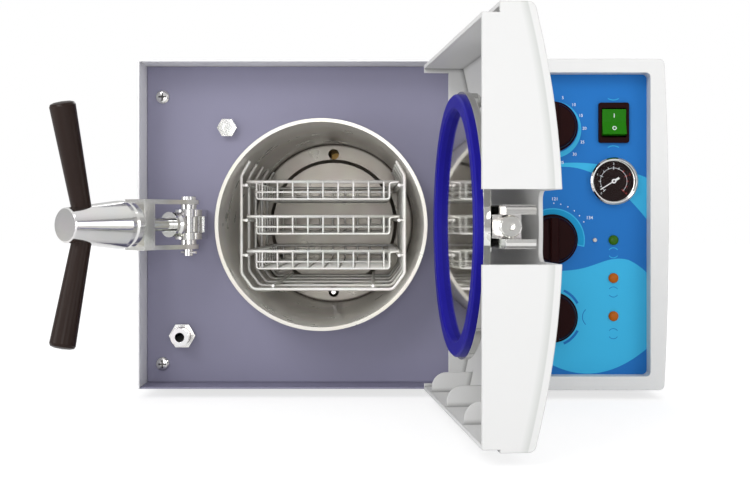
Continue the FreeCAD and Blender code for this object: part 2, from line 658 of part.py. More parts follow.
def make_door_cover():
    wall = "size.mould_wall"
    half, back = "size.cover_half_height", "size.cover_rim"
    low, high = f"({half} + 3)", f"({half} - 2)"
    lid_half, lid_back = f"({half} + size.lid_step)", "(size.cover_rim - size.lid_setback)"
    lid = round_edges(cover_form("0", lid_half, lid_half, lid_back), 5,
                      lambda edge: along("X")(edge) and edge.Vertexes[0].Point.y < 0)
    outer = fuse([cover_form("0", low, high, back), lid])
    lid_groove = cut(cover_form(wall, lid_half, lid_half, f"{lid_back} + 1"),
                     [cover_form("0", low, high, back)])
    face_line = common(cut(bow("size.lid_band", "-size.cover_width - 1", "2.2"),
                           [bow("size.lid_band + 2", "-size.cover_width - 2", "6")]),
                       block("-size.cover_width - 1", "-size.cover_front - 5", f"-{half}", "3",
                             f"size.cover_front + 5 + {lid_back}", f"2 * {half}"))
    notch = block("-size.cover_width - 1", "-size.cover_front - 10", "-size.notch_half",
                  "size.notch_deep + 1", "size.cover_front + size.cover_rim + 20",
                  "2 * size.notch_half")
    notch = round_edges(notch, 8, lambda edge: along("Y")(edge)
                        and edge.Vertexes[0].Point.x > -value("size.cover_width"))
    hinge_gap = block("-24", "-size.cover_front - 10", "-34", "size.cover_tail + 30",
                      "size.cover_front + size.cover_rim + 20", "68")
    tail_gap = block(f"size.cover_tail - 2 * {wall}", "6", f"5.5 - {low}", "20",
                     "size.cover_rim", f"{low} + {high} - 12")
    shell = cut(outer, [cover_form(wall, low, high, f"{back} + 1"), lid_groove, face_line, notch,
                        hinge_gap, tail_gap])
    ribs = []
    for station in (0.085, 0.39, 0.695):
        rib = block(f"-size.cover_width * {station} - 1", "-size.cover_front",
                    f"{wall} / 2 - {low}", "2", f"size.cover_front + {back} - 2", "size.rib_high")
        rib = round_edges(rib, 12, lambda edge: along("X")(edge)
                          and edge.Vertexes[0].Point.z > -value(low) + 5
                          and edge.Vertexes[0].Point.y > 5)
        ribs.append(common(rib, bow(f"{wall} / 2", "-size.cover_width", "size.cover_width")))
    on_door(fuse([shell] + ribs), "door_cover")


def make_cover_studs():
    studs = []
    for x_sign in (-1, 1):
        for z_sign in (-1, 1):
            studs.append(rod(f"-size.hinge_reach + {x_sign} * size.stud_spread", PLATE_OUT,
                             f"{z_sign} * size.stud_spread", "-Y", "4",
                             f"{PLATE_OUT} - {cover_inside('(size.stud_spread + 4)')}"))
    group = doc.addObject("Part::Compound", "studs")
    group.Links = studs
    on_door(group, "cover_studs")
    long = f"({PLATE_OUT} - {cover_inside('(size.edge_bolt_rise + 4)')})"
    bolt = turned("bolt_turning", [
        ("0", "0"), ("5.5", "0"), ("6.5", "1"), ("6.5", "8"), ("5", "10"), ("4", "10"),
        ("4", long), ("0", long),
    ], "-size.hinge_reach", PLATE_OUT, "size.edge_bolt_rise", "-Y")
    on_door(bolt, "edge_bolt")


def cover_inside(rise):
    """The cover's inner face at a height off the axis, a gap short of it."""
    return (f"(size.mould_wall - size.cover_front + size.seat_gap"
            f" + {rise} ^ 2 / (2 * {COVER_ARC}))")


def make_hinge():
    top = f"({ARM_HALF} + size.seat_gap)"
    nose = "(size.arm_half_deep + 2)"
    reach = f"({PANEL_Y} - {HINGE_Y})"
    ears = []
    for low in (top, f"-{top} - size.ear_wall"):
        low_z = f"{AXIS_Z} + {low}"
        ears.append(block(f"{HINGE_X} - {nose}", HINGE_Y, low_z, f"2 * {nose}", reach,
                          "size.ear_wall"))
        ears.append(rod(HINGE_X, HINGE_Y, low_z, "+Z", nose, "size.ear_wall"))
    back_z = f"{AXIS_Z} - {top} - size.ear_wall"
    ears.append(block(f"{HINGE_X} - {nose}", f"{PANEL_Y} - 6", back_z, f"2 * {nose}", "6",
                      f"2 * ({top} + size.ear_wall)"))
    bore = rod(HINGE_X, HINGE_Y, f"{back_z} - 5", "+Z", "size.pin_radius + size.run_gap",
               f"2 * ({top} + size.ear_wall) + 10")
    keep(cut(fuse(ears), [bore]), "hinge_bracket")
    pin_long = f"(2 * ({top} + size.ear_wall) + 3)"
    keep(turned("hinge_pin", [
        ("0", "-3"), ("size.pin_radius", "-3"), ("size.pin_radius", f"{pin_long} - 3"),
        ("size.pin_radius + 2.5", f"{pin_long} - 3"), ("size.pin_radius + 2", f"{pin_long} - 1"),
        ("0", pin_long),
    ], HINGE_X, HINGE_Y, back_z, "+Z"), "hinge_pin")


# Clamp: a screw with an eye swings on an upright pin in a bracket. A yoke on
# the same pin carries the cross block, and the handle's hub turns on the
# screw and drives the block against the door arm's fork.
def on_clamp(item, label):
    hung(item, CLAMP_X, "0", AXIS_Z, "-size.clamp_angle", label)


def clamp_pin_hole():
    """The bore for the clamp pin, in the screw's eye and the yoke's arms."""
    return rod("0", "0", "-40", "+Z", "size.clamp_pin_radius + size.run_gap", "80")


def make_clamp():
    half = "size.clamp_block_half"
    nose = "size.clamp_block_radius"
    base_z = f"{AXIS_Z} - {half}"
    base = block(f"{CLAMP_X} - {nose}", "0", base_z, f"2 * {nose}", PANEL_Y, f"2 * {half}")
    round_nose = rod(CLAMP_X, "0", base_z, "+Z", nose, f"2 * {half}")
    slot = block(f"{CLAMP_X} - 30", "-30", f"{AXIS_Z} - size.eye_half - size.seat_gap", "60",
                 f"30 + {nose}", "2 * (size.eye_half + size.seat_gap)")
    bore = rod(CLAMP_X, "0", f"{base_z} - 1", "+Z", "size.clamp_pin_radius + size.run_gap",
               f"2 * {half} + 2")
    keep(cut(fuse([base, round_nose]), [slot, bore]), "clamp_bracket")

    eye = rod("0", "0", "-size.eye_half", "+Z", "9", "2 * size.eye_half")
    shank = rod("0", "0", "0", "-Y", "size.screw_radius", "size.yoke_reach + 18")
    on_clamp(cut(fuse([eye, shank]), [clamp_pin_hole()]), "clamp_screw")

    arms = []
    inner, wall = "size.yoke_inner", "size.yoke_wall"
    for low in (inner, f"-{inner} - {wall}"):
        arms.append(block("-9", "-size.yoke_reach", low, "18", "size.yoke_reach", wall))
        arms.append(rod("0", "0", low, "+Z", "9", wall))
    boss_high = f"({inner} - {half} - size.seat_gap)"
    for low in (f"{half} + size.seat_gap", f"-{inner}"):
        arms.append(rod("0", "0", low, "+Z", "7", boss_high))
    arms.append(block("-12", "-size.yoke_reach", f"-{inner} - {wall}", "24", "size.yoke_block",
                      f"2 * ({inner} + {wall})"))
    bore = rod("0", "-10", "0", "-Y", "size.screw_radius + size.run_gap", "80")
    on_clamp(cut(fuse(arms), [clamp_pin_hole(), bore]), "clamp_yoke")

    rings = turned("rings", [
        ("size.screw_radius + size.run_gap", "0"), ("11", "0"), ("11", "3"), ("9", "5.2"),
        ("11", "7.5"), ("11", "10.5"), ("size.screw_radius + size.run_gap", "10.5"),
    ], "0", f"-{nose} - 1", "0", "-Y")
    on_clamp(rings, "clamp_washers")

    top = f"({inner} + {wall})"
    pin = turned("pin", [
        ("0", f"-{top} - 6"), ("size.clamp_pin_radius", f"-{top} - 6"),
        ("size.clamp_pin_radius", f"{top} + 0.1"), ("size.clamp_pin_radius + 3", f"{top} + 0.1"),
        ("size.clamp_pin_radius + 2.5", f"{top} + 3"), ("0", f"{top} + 3.5"),
    ], "0", "0", "0", "+Z")
    split_pin = rod("-9", "0", f"-{top} - 3", "+X", "1.2", "18")
    on_clamp(fuse([pin, split_pin]), "clamp_pin")


def make_handle():
    start = "(size.yoke_reach + size.seat_gap)"
    wide, nose, long = "size.hub_radius", "size.hub_nose", "size.hub_length"
    hub = turned("hub_cone", [
        ("size.screw_radius + size.run_gap", "0"),
        (f"{wide} - 6", "0"),
        (f"{wide} - 6", "3"),
        (f"{wide} - 1", "5"),
        (f"{wide} - 1", "10"),
        (f"{wide} - 3", "12"),
        (wide, "14"),
        (wide, "18"),
        (nose, f"{long} - 1"),
        (f"{nose} - 1", long),
        ("0", long),
        ("0", "20"),
        ("size.screw_radius + size.run_gap", "20"),
    ], "0", f"-{start}", "0", "-Y")
    sockets = []
    for label, sign in (("upper_grip", 1), ("lower_grip", -1)):
        station = f"-({start} + size.grip_station)"
        socket_r = "size.grip_root + size.run_gap"
        socket = turned("socket", [("0", "9"), (socket_r, "9"), (socket_r, "40"), ("0", "40")],
                        "0", station, "0", "+Z")
        grip = turned(f"{label}_turning", [
            ("0", "9"),
            ("size.grip_root", "9"),
            ("size.grip_root", "14"),
            ("size.grip_end", "size.grip_length - 3"),
            ("size.grip_end - 1", "size.grip_length - 1"),
            ("size.grip_end - 4", "size.grip_length"),
            ("0", "size.grip_length + 0.5"),
        ], "0", station, "0", "+Z")
        lean = value("size.grip_tilt")
        for piece in (socket, grip):
            tilt = lean if sign > 0 else 180 - lean
            piece.Placement.Rotation = FreeCAD.Rotation(FreeCAD.Vector(1, 0, 0), tilt)
            reach = "size.grip_tilt" if sign > 0 else "180 - size.grip_tilt"
            piece.setExpression("Placement.Rotation.Roll", reach)
        sockets.append(socket)
        on_clamp(grip, label)
    on_clamp(cut(hub, sockets), "clamp_hub")


# Control panel: a moulded bezel round a recessed plate that carries three
# knobs, the power switch, the pressure gauge, three lamps and a reset button.
KNOB_X = f"({BEZEL_X} + size.knob_inset)"
SWITCH_X = f"({BEZEL_X} + size.switch_inset)"
RESET_X = f"({BEZEL_X} + size.reset_inset)"


def height_of(rise):
    """A control's height over the floor."""
    return f"({AXIS_Z} + size.{rise})"


def make_bezel():
    wall = "size.mould_wall"
    bow = "((size.body_height ^ 2 / 4 + size.bezel_bulge ^ 2) / (2 * size.bezel_bulge))"
    face = block(BEZEL_X, FACE_Y, FLOOR, "size.bezel_width + size.bezel_bulge",
                 "size.bezel_proud - size.seat_gap", "size.body_height")
    side = rod(f"{RIGHT} + size.bezel_bulge - {bow}", f"{FACE_Y} - 1", AXIS_Z, "+Y", bow, "20")
    face = round_edges(common(face, side), 5, lambda edge: along("Y")(edge)
                       and edge.Vertexes[0].Point.x > value(BEZEL_X) + 10)
    low_z = f"({FLOOR} + size.bezel_border)"
    tray = block(f"{PLATE_X} - {wall}", "-size.seat_gap", f"{low_z} - {wall}",
                 f"{PLATE_WIDE} + 2 * {wall}", f"{PLATE_Y} + size.seat_gap",
                 f"{PLATE_HIGH} + 2 * {wall}")
    wing = block(BEZEL_X, f"{FACE_Y} + 1", FLOOR, wall, f"{PANEL_Y} + size.bezel_proud - 1",
                 "size.body_height - size.sheet_wall - size.seat_gap")
    hole = block(PLATE_X, f"{FACE_Y} - 5", low_z, PLATE_WIDE, "60", PLATE_HIGH)
    hole = round_edges(hole, 4, along("Y"))
    keep(cut(fuse([face, tray, wing]), [hole]), "control_bezel")


def make_plate():
    wall = "size.mould_wall"
    plate = block(f"{PLATE_X} - {wall}", PLATE_Y, f"{FLOOR} + size.bezel_border - {wall}",
                  f"{PLATE_WIDE} + 2 * {wall}", "size.plate_wall", f"{PLATE_HIGH} + 2 * {wall}")
    front = f"{PLATE_Y} - 5"
    holes = []
    for rise in ("timer_rise", "temperature_rise", "selector_rise"):
        holes.append(rod(KNOB_X, front, height_of(rise), "+Y", "4.5", "20"))
    for rise in ("power_lamp_rise", "dry_lamp_rise", "heat_lamp_rise"):
        holes.append(rod(SWITCH_X, front, height_of(rise), "+Y", "size.lamp_radius - 0.6", "20"))
    holes.append(rod(SWITCH_X, front, height_of("gauge_rise"), "+Y", "size.gauge_radius - 2", "20"))
    holes.append(rod(RESET_X, front, height_of("power_lamp_rise"), "+Y",
                     "1.8 + size.run_gap", "20"))
    holes.append(block(f"{SWITCH_X} - 12", front, f"{height_of('switch_rise')} - 15", "24", "20",
                       "30"))
    keep(cut(plate, holes), "control_plate")


def make_knobs():
    for name in ("timer", "temperature", "selector"):
        z = height_of(f"{name}_rise")
        radius, tall = "size.knob_radius", "size.knob_height"
        round_part = turned(f"{name}_round", [
            ("0", "0"), (radius, "0"), (radius, "3"), (f"{radius} - 1.5", "4.5"),
            (f"{radius} - 3", f"{tall} - 6"), (f"{radius} - 4.5", f"{tall} - 4"),
            ("0", f"{tall} - 4"),
        ], KNOB_X, f"{PLATE_Y} - 0.6", z, "-Y")
        ridge = block(f"{KNOB_X} - 4", f"{PLATE_Y} - 0.6 - {tall}", f"{z} - {radius} + 3", "8",
                      "6", f"2 * ({radius} - 3)")
        bore = rod(KNOB_X, f"{PLATE_Y} + 1", z, "-Y", "3 + size.run_gap", "10")
        keep(cut(fuse([round_part, round_edges(ridge, 2, along("Z"))]), [bore]), f"{name}_knob")
        back = f"{PLATE_Y} + size.plate_wall"
        shaft = rod(KNOB_X, f"{back} + 1", z, "-Y", "3", "11")
        if name == "selector":
            body = rod(KNOB_X, back, z, "+Y", "19", "55")
            ports = [rod(KNOB_X, f"{back} + {y}", z, "-X", "4", "28") for y in (20, 42)]
            keep(fuse([body, shaft] + ports), "selector_valve")
        else:
            body = rod(KNOB_X, back, z, "+Y", "20", "6")
            case = block(f"{KNOB_X} - 17", f"{back} + 6", f"{z} - 20", "34", "28", "40")
            keep(fuse([body, case, shaft]), f"{name}_body")


def make_switch():
    z = height_of("switch_rise")
    frame = block(f"{SWITCH_X} - 13.5", f"{PLATE_Y} - 3", f"{z} - 17.8", "27", "3", "35.6")
    frame = round_edges(frame, 2, along("Y"))
    case = block(f"{SWITCH_X} - 11.9", PLATE_Y, f"{z} - 14.9", "23.8", "22", "29.8")
    well = block(f"{SWITCH_X} - 10.8", f"{PLATE_Y} - 10", f"{z} - 12.9", "21.6", "22", "25.8")
    keep(cut(fuse([frame, case]), [well]), "switch_frame")
    rocker = doc.addObject("PartDesign::Body", "rocker")
    side = sketch_on(rocker, "side", "YZ_Plane")
    outline(side, [("-5.5", "-11.2"), ("-3.5", "0"), ("-5.5", "11.2"), ("3", "11.2"), ("7", "0"),
                   ("3", "-11.2")])
    pad = rocker.newObject("PartDesign::Pad", "rocker_pad")
    pad.Profile = side
    pad.Midplane = True
    bind(pad, Length="21")
    carrier = doc.addObject("Part::Compound", "power_rocker")
    carrier.Links = [rocker]
    carrier.Placement.Rotation = FreeCAD.Rotation(FreeCAD.Vector(1, 0, 0), -8)
    for axis, formula in zip("xyz", (SWITCH_X, PLATE_Y, z)):
        carrier.setExpression(f"Placement.Base.{axis}", formula)
    keep(carrier, "power_rocker")


def make_gauge():
    z = height_of("gauge_rise")
    rim = "size.gauge_radius"
    inner = f"{rim} - 2.6"
    keep(turned("gauge_case", [
        ("0", "-26"), (inner, "-26"), (inner, "0"), (rim, "0"), (rim, "5"),
        (f"{rim} - 1.5", "6.5"), (f"{rim} - 2.5", "6"), (f"{rim} - 2.6", "1.5"), ("0.8", "1.5"),
        ("0.8", "3.8"), ("0", "3.8"),
    ], SWITCH_X, PLATE_Y, z, "-Y"), "gauge_case")
    keep(turned("gauge_glass", [
        ("0", "4.6"), (f"{rim} - 2.7", "4.6"), (f"{rim} - 2.7", "5.6"), ("0", "5.6"),
    ], SWITCH_X, PLATE_Y, z, "-Y"), "gauge_glass")
    hub = rod("0", "-2.2", "0", "-Y", "2", "1.2")
    tip = block("-0.4", "-2.9", "0", "0.8", "0.6", f"{rim} - 7")
    tail = block("-1", "-2.9", "-5.5", "2", "0.6", "5.5")
    bore = rod("0", "5", "0", "-Y", "0.8 + size.run_gap", "20")
    needle = doc.addObject("Part::Compound", "gauge_needle")
    needle.Links = [cut(fuse([hub, tip, tail]), [bore])]
    turn = FreeCAD.Rotation(FreeCAD.Vector(0, 1, 0), value("size.needle_angle"))
    needle.Placement = FreeCAD.Placement(FreeCAD.Vector(), turn)
    for axis, formula in zip("xyz", (SWITCH_X, PLATE_Y, z)):
        needle.setExpression(f"Placement.Base.{axis}", formula)
    keep(needle, "gauge_needle")


def make_lamps_and_reset():
    for name in ("power", "dry", "heat"):
        radius = "size.lamp_radius"
        keep(turned(f"{name}_lamp", [
            ("0", "-14"), (f"{radius} - 0.8", "-14"), (f"{radius} - 0.8", "0"), (radius, "0"),
            (radius, "1"), (f"{radius} - 0.8", "1.8"), (f"{radius} - 2", "2.3"), ("0", "2.6"),
        ], SWITCH_X, PLATE_Y, height_of(f"{name}_lamp_rise"), "-Y"), f"{name}_lamp")
    z = height_of("power_lamp_rise")
    back = f"{PLATE_Y} + size.plate_wall"
    keep(turned("reset_button", [
        ("0", "-6"), ("3.4", "-6"), ("3.4", "-3.5"), ("1.8", "-3.5"), ("1.8", "1.2"), ("1.4", "1.7"),
        ("0", "1.7"),
    ], RESET_X, PLATE_Y, z, "-Y"), "reset_button")
    case = block(f"{RESET_X} - 7", back, f"{z} - 7", "14", "14", "14")
    well = rod(RESET_X, f"{back} - 1", z, "+Y", "3.6", "9")
    keep(cut(case, [well]), "reset_body")


# Fittings on the front panel and the back, and the steam outlet line.
def make_fittings():
    front = PANEL_Y
    keep(cut(fuse([
        hexagon(DRAIN_X, front, DRAIN_Z, "-Y", "12", "8"),
        rod(DRAIN_X, f"{front} - 8", DRAIN_Z, "-Y", "9.5", "4"),
        rod(DRAIN_X, f"{front} - 8", DRAIN_Z, "-Y", "7.5", "size.drain_reach - 8"),
        rod(DRAIN_X, f"{front} - size.drain_reach + 4", DRAIN_Z, "-Y", "8.2", "4"),
        rod(DRAIN_X, front, DRAIN_Z, "+Y", "6.2", "20"),
    ]), [rod(DRAIN_X, f"{front} + 30", DRAIN_Z, "-Y", "4.2", "80")]), "drain_nozzle")
    keep(cut(fuse([
        hexagon(PLUG_X, front, PLUG_Z, "-Y", "9", "7"),
        rod(PLUG_X, f"{front} - 7", PLUG_Z, "-Y", "6.5", "1.5"),
    ]), [rod(PLUG_X, f"{front} - 5", PLUG_Z, "-Y", "3.5", "20")]), "sensor_bolt")
    heads = []
    for rise in ("size.upper_screw_rise", "size.lower_screw_rise"):
        screw_z = f"{AXIS_Z} + {rise}"
        x = f"{LEFT} + size.screw_inset"
        heads.append(turned("screw_head", [
            ("0", "0"), ("6.3", "0"), ("6", "1.4"), ("4.5", "2.6"), ("2", "3.2"), ("0", "3.2"),
        ], x, front, screw_z, "-Y"))
    group = doc.addObject("Part::Compound", "panel_screws")
    group.Links = heads
    keep(group, "panel_screws")

    pipe_start = f"{RIM_Y} + {DEPTH} + size.chamber_wall"
    back = "(size.body_depth - size.sheet_wall)"
    pipe = rod(VALVE_X, pipe_start, VALVE_Z, "+Y", "8", f"{back} - ({pipe_start})")
    bore = rod(VALVE_X, f"{pipe_start} - 5", VALVE_Z, "+Y", "size.port_radius", "150")
    keep(cut(pipe, [bore]), "exhaust_pipe")
    keep(fuse([
        rod(VALVE_X, back, VALVE_Z, "+Y", "8", "6"),
        hexagon(VALVE_X, "size.body_depth", VALVE_Z, "+Y", "12", "9"),
        taper(VALVE_X, "size.body_depth + 9", VALVE_Z, "+Y", "9", "7", "14"),
        rod(VALVE_X, "size.body_depth + 23", VALVE_Z, "+Y", "2", "7"),
    ]), "safety_valve")
    flange = block(f"{INLET_X} - 18", "size.body_depth", f"{INLET_Z} - 14", "36", "2.5", "28")
    shell = block(f"{INLET_X} - 13.7", "size.body_depth - 18", f"{INLET_Z} - 9.7", "27.4", "18",
                  "19.4")
    cavity = block(f"{INLET_X} - 12", "size.body_depth - 14", f"{INLET_Z} - 8", "24", "20", "16")
    blades = [block(f"{INLET_X} + {x} - 1", "size.body_depth - 15", f"{INLET_Z} + {z} - 1.7",
                    "2", "13", "3.4") for x, z in ((-7, -2), (0, 1), (7, -2))]
    keep(fuse([cut(fuse([flange, shell]), [cavity])] + blades), "power_inlet")


make_top_cover()
make_base_pan()
make_front_panel()
make_back_panel()
make_feet()
make_vessel()
make_vessel_carriers()
make_tank()
make_rack()
for level, label in enumerate(("upper_basket", "middle_basket", "lower_basket")):
    make_basket(label, level)
make_hinge()
make_door_plate()
make_door_arm()
make_door_cover()
make_cover_studs()
make_clamp()
make_handle()
make_bezel()
make_plate()
make_knobs()
make_switch()
make_gauge()
make_lamps_and_reset()
make_fittings()
doc.recompute()

for item in doc.Objects:
    faults = [state for state in item.State if state in ("Invalid", "Error")]
    if faults:
        raise RuntimeError(f"{item.Label} is {faults}")
for item in PARTS:
    if item.Shape.isNull() or not item.Shape.isValid():
        raise RuntimeError(f"{item.Label} has no valid shape")

# Stand the whole on the origin: middle of its outline at rest, floor at zero.
extent = FreeCAD.BoundBox()
for item in PARTS:
    extent.add(item.Shape.optimalBoundingBox(False, False))
middle = FreeCAD.Vector(extent.Center.x, extent.Center.y, extent.ZMin)
os.makedirs("parts", exist_ok=True)
for item in PARTS:
    shape = item.Shape.copy()
    shape.translate(-middle)
    shape.exportStep(f"parts/{item.Label}.step")
print(f"{len(PARTS)} parts, origin at {middle.x:.4f} {middle.y:.4f} {middle.z:.4f}")
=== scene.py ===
import math
from functools import partial

import bmesh
import bpy
from mathutils import Matrix, Vector


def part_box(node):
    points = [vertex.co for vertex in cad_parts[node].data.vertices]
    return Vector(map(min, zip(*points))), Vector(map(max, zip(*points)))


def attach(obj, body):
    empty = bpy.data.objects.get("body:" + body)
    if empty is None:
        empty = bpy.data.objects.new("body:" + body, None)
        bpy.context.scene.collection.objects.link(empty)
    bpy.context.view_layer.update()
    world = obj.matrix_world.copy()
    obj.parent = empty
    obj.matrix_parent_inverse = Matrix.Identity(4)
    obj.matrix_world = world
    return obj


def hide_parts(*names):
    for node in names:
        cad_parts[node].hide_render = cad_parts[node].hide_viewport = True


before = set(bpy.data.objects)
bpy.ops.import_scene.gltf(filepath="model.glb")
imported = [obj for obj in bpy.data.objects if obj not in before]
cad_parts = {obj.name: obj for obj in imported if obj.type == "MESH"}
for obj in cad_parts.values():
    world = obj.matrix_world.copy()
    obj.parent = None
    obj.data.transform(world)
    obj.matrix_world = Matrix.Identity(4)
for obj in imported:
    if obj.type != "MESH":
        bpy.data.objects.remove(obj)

scene = bpy.context.scene
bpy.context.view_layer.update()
MM = 0.001

# Camera. It looks straight at the front, level with the chamber, from about
# 1.05 m in front of the housing, and is shifted a little down.
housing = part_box("top_cover")
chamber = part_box("pressure_vessel")
axis_x = (chamber[0].x + chamber[1].x) / 2
axis_z = (chamber[0].z + chamber[1].z) / 2
VIEW_DISTANCE = 1.05
VIEW_RISE = 5.7 * MM
VIEW_SHIFT = -0.032
FOCAL_PIXELS = 1193
FRAME_PIXELS = 750
SENSOR = 36
camera_data = bpy.data.cameras.new("camera")
camera_data.sensor_width = SENSOR
camera_data.lens = SENSOR * FOCAL_PIXELS / FRAME_PIXELS
camera_data.shift_y = VIEW_SHIFT
camera = bpy.data.objects.new("camera", camera_data)
camera.location = (0, housing[0].y - VIEW_DISTANCE, axis_z + VIEW_RISE)
camera.rotation_euler = (math.radians(90), 0, 0)
scene.collection.objects.link(camera)
scene.camera = camera

# Stage. A pale floor that fades into a white backdrop, with soft lamps in
# front, at the sides and behind. Reflections see a grey room with a bright top.
scene.view_settings.view_transform = "Standard"
ROOM_LOW, ROOM_LEVEL, ROOM_TOP = 0.24, 0.52, 0.95
world = bpy.data.worlds.new("studio")
scene.world = world
world.use_nodes = True
nodes, links = world.node_tree.nodes, world.node_tree.links
back = nodes["Background"]
where = nodes.new("ShaderNodeTexCoord")
height = nodes.new("ShaderNodeSeparateXYZ")
room = nodes.new("ShaderNodeValToRGB")
room.color_ramp.interpolation = "EASE"
room.color_ramp.elements[0].position = 0.25
room.color_ramp.elements[0].color = (ROOM_LOW, ROOM_LOW, ROOM_LOW, 1)
room.color_ramp.elements[1].position = 1.0
room.color_ramp.elements[1].color = (ROOM_TOP, ROOM_TOP, ROOM_TOP, 1)
middle = room.color_ramp.elements.new(0.5)
middle.color = (ROOM_LEVEL, ROOM_LEVEL, ROOM_LEVEL, 1)
spread = nodes.new("ShaderNodeMath")
spread.operation = "MULTIPLY_ADD"
spread.inputs[1].default_value = 0.5
spread.inputs[2].default_value = 0.5
path = nodes.new("ShaderNodeLightPath")
seen = nodes.new("ShaderNodeMix")
seen.data_type = "RGBA"
seen.inputs["B"].default_value = (1, 1, 1, 1)
links.new(where.outputs["Generated"], height.inputs[0])
links.new(height.outputs["Z"], spread.inputs[0])
links.new(spread.outputs[0], room.inputs["Fac"])
links.new(room.outputs["Color"], seen.inputs["A"])
links.new(path.outputs["Is Camera Ray"], seen.inputs["Factor"])
links.new(seen.outputs["Result"], back.inputs["Color"])

FLOOR_HALF = 6.0
FLOOR_SHARE, FLOOR_GLOW = 0.64, 1.16
FLOOR_NEAR, FLOOR_FAR = 0.4, 1.5
FLOOR_COLOUR = (0.9, 0.9, 0.91, 1)
floor_mesh = bpy.data.meshes.new("floor")
floor_mesh.from_pydata([(-FLOOR_HALF, -FLOOR_HALF, 0), (FLOOR_HALF, -FLOOR_HALF, 0),
                        (FLOOR_HALF, FLOOR_HALF, 0), (-FLOOR_HALF, FLOOR_HALF, 0)],
                       [], [(0, 1, 2, 3)])
floor = bpy.data.objects.new("floor", floor_mesh)
scene.collection.objects.link(floor)
floor_paint = bpy.data.materials.new("pale_floor")
floor_paint.use_nodes = True
nodes, links = floor_paint.node_tree.nodes, floor_paint.node_tree.links
nodes.clear()
matte = nodes.new("ShaderNodeBsdfDiffuse")
matte.inputs["Color"].default_value = FLOOR_COLOUR
glow = nodes.new("ShaderNodeEmission")
glow.inputs["Strength"].default_value = FLOOR_GLOW
blend = nodes.new("ShaderNodeMixShader")
path = nodes.new("ShaderNodeLightPath")
share = nodes.new("ShaderNodeMath")
share.operation = "MULTIPLY"
where = nodes.new("ShaderNodeTexCoord")
distance = nodes.new("ShaderNodeVectorMath")
distance.operation = "LENGTH"
fade = nodes.new("ShaderNodeMapRange")
fade.inputs["From Min"].default_value = FLOOR_NEAR
fade.inputs["From Max"].default_value = FLOOR_FAR
fade.inputs["To Min"].default_value = FLOOR_SHARE
out = nodes.new("ShaderNodeOutputMaterial")
links.new(where.outputs["Object"], distance.inputs[0])
links.new(distance.outputs["Value"], fade.inputs["Value"])
links.new(fade.outputs["Result"], share.inputs[1])
links.new(path.outputs["Is Camera Ray"], share.inputs[0])
links.new(share.outputs[0], blend.inputs["Fac"])
links.new(matte.outputs[0], blend.inputs[1])
links.new(glow.outputs[0], blend.inputs[2])
links.new(blend.outputs[0], out.inputs["Surface"])
floor_mesh.materials.append(floor_paint)


def softbox(name, place, aim, size, power):
    """A square studio lamp at a place, aimed at a point."""
    lamp = bpy.data.lights.new(name, "AREA")
    lamp.size = size
    lamp.energy = power
    item = bpy.data.objects.new(name, lamp)
    item.location = place
    item.rotation_euler = (Vector(aim) - Vector(place)).to_track_quat("-Z", "Y").to_euler()
    scene.collection.objects.link(item)


AIM = (0, housing[0].y, axis_z)
softbox("key", (-1.0, -1.6, 1.3), AIM, 0.9, 13)
softbox("fill", (1.4, -1.6, 0.7), AIM, 1.0, 5.5)
softbox("front", (0.0, -2.2, 0.35), AIM, 0.7, 6.5)
softbox("side", (-1.5, -0.75, 0.3), AIM, 0.8, 5)
softbox("rear", (0.3, 1.9, 1.5), AIM, 1.2, 12)

# Housing. The cover is one sheet of steel folded into an inverted U and
# powder coated white; the back panel is the same, the pan is coated slate violet.
# Panels are screwed to the pan, which stands on four rubber feet.


def srgb(red, green, blue):
    """A colour as a picture gives it, in the values that a shader takes."""
    channels = [c / 255 for c in (red, green, blue)]
    return tuple(c / 12.92 if c < 0.04045 else ((c + 0.055) / 1.055) ** 2.4 for c in channels) + (1,)


def socket(group, name, kind, way, default=None):
    item = group.interface.new_socket(name, in_out=way, socket_type=kind)
    if default is not None:
        item.default_value = default


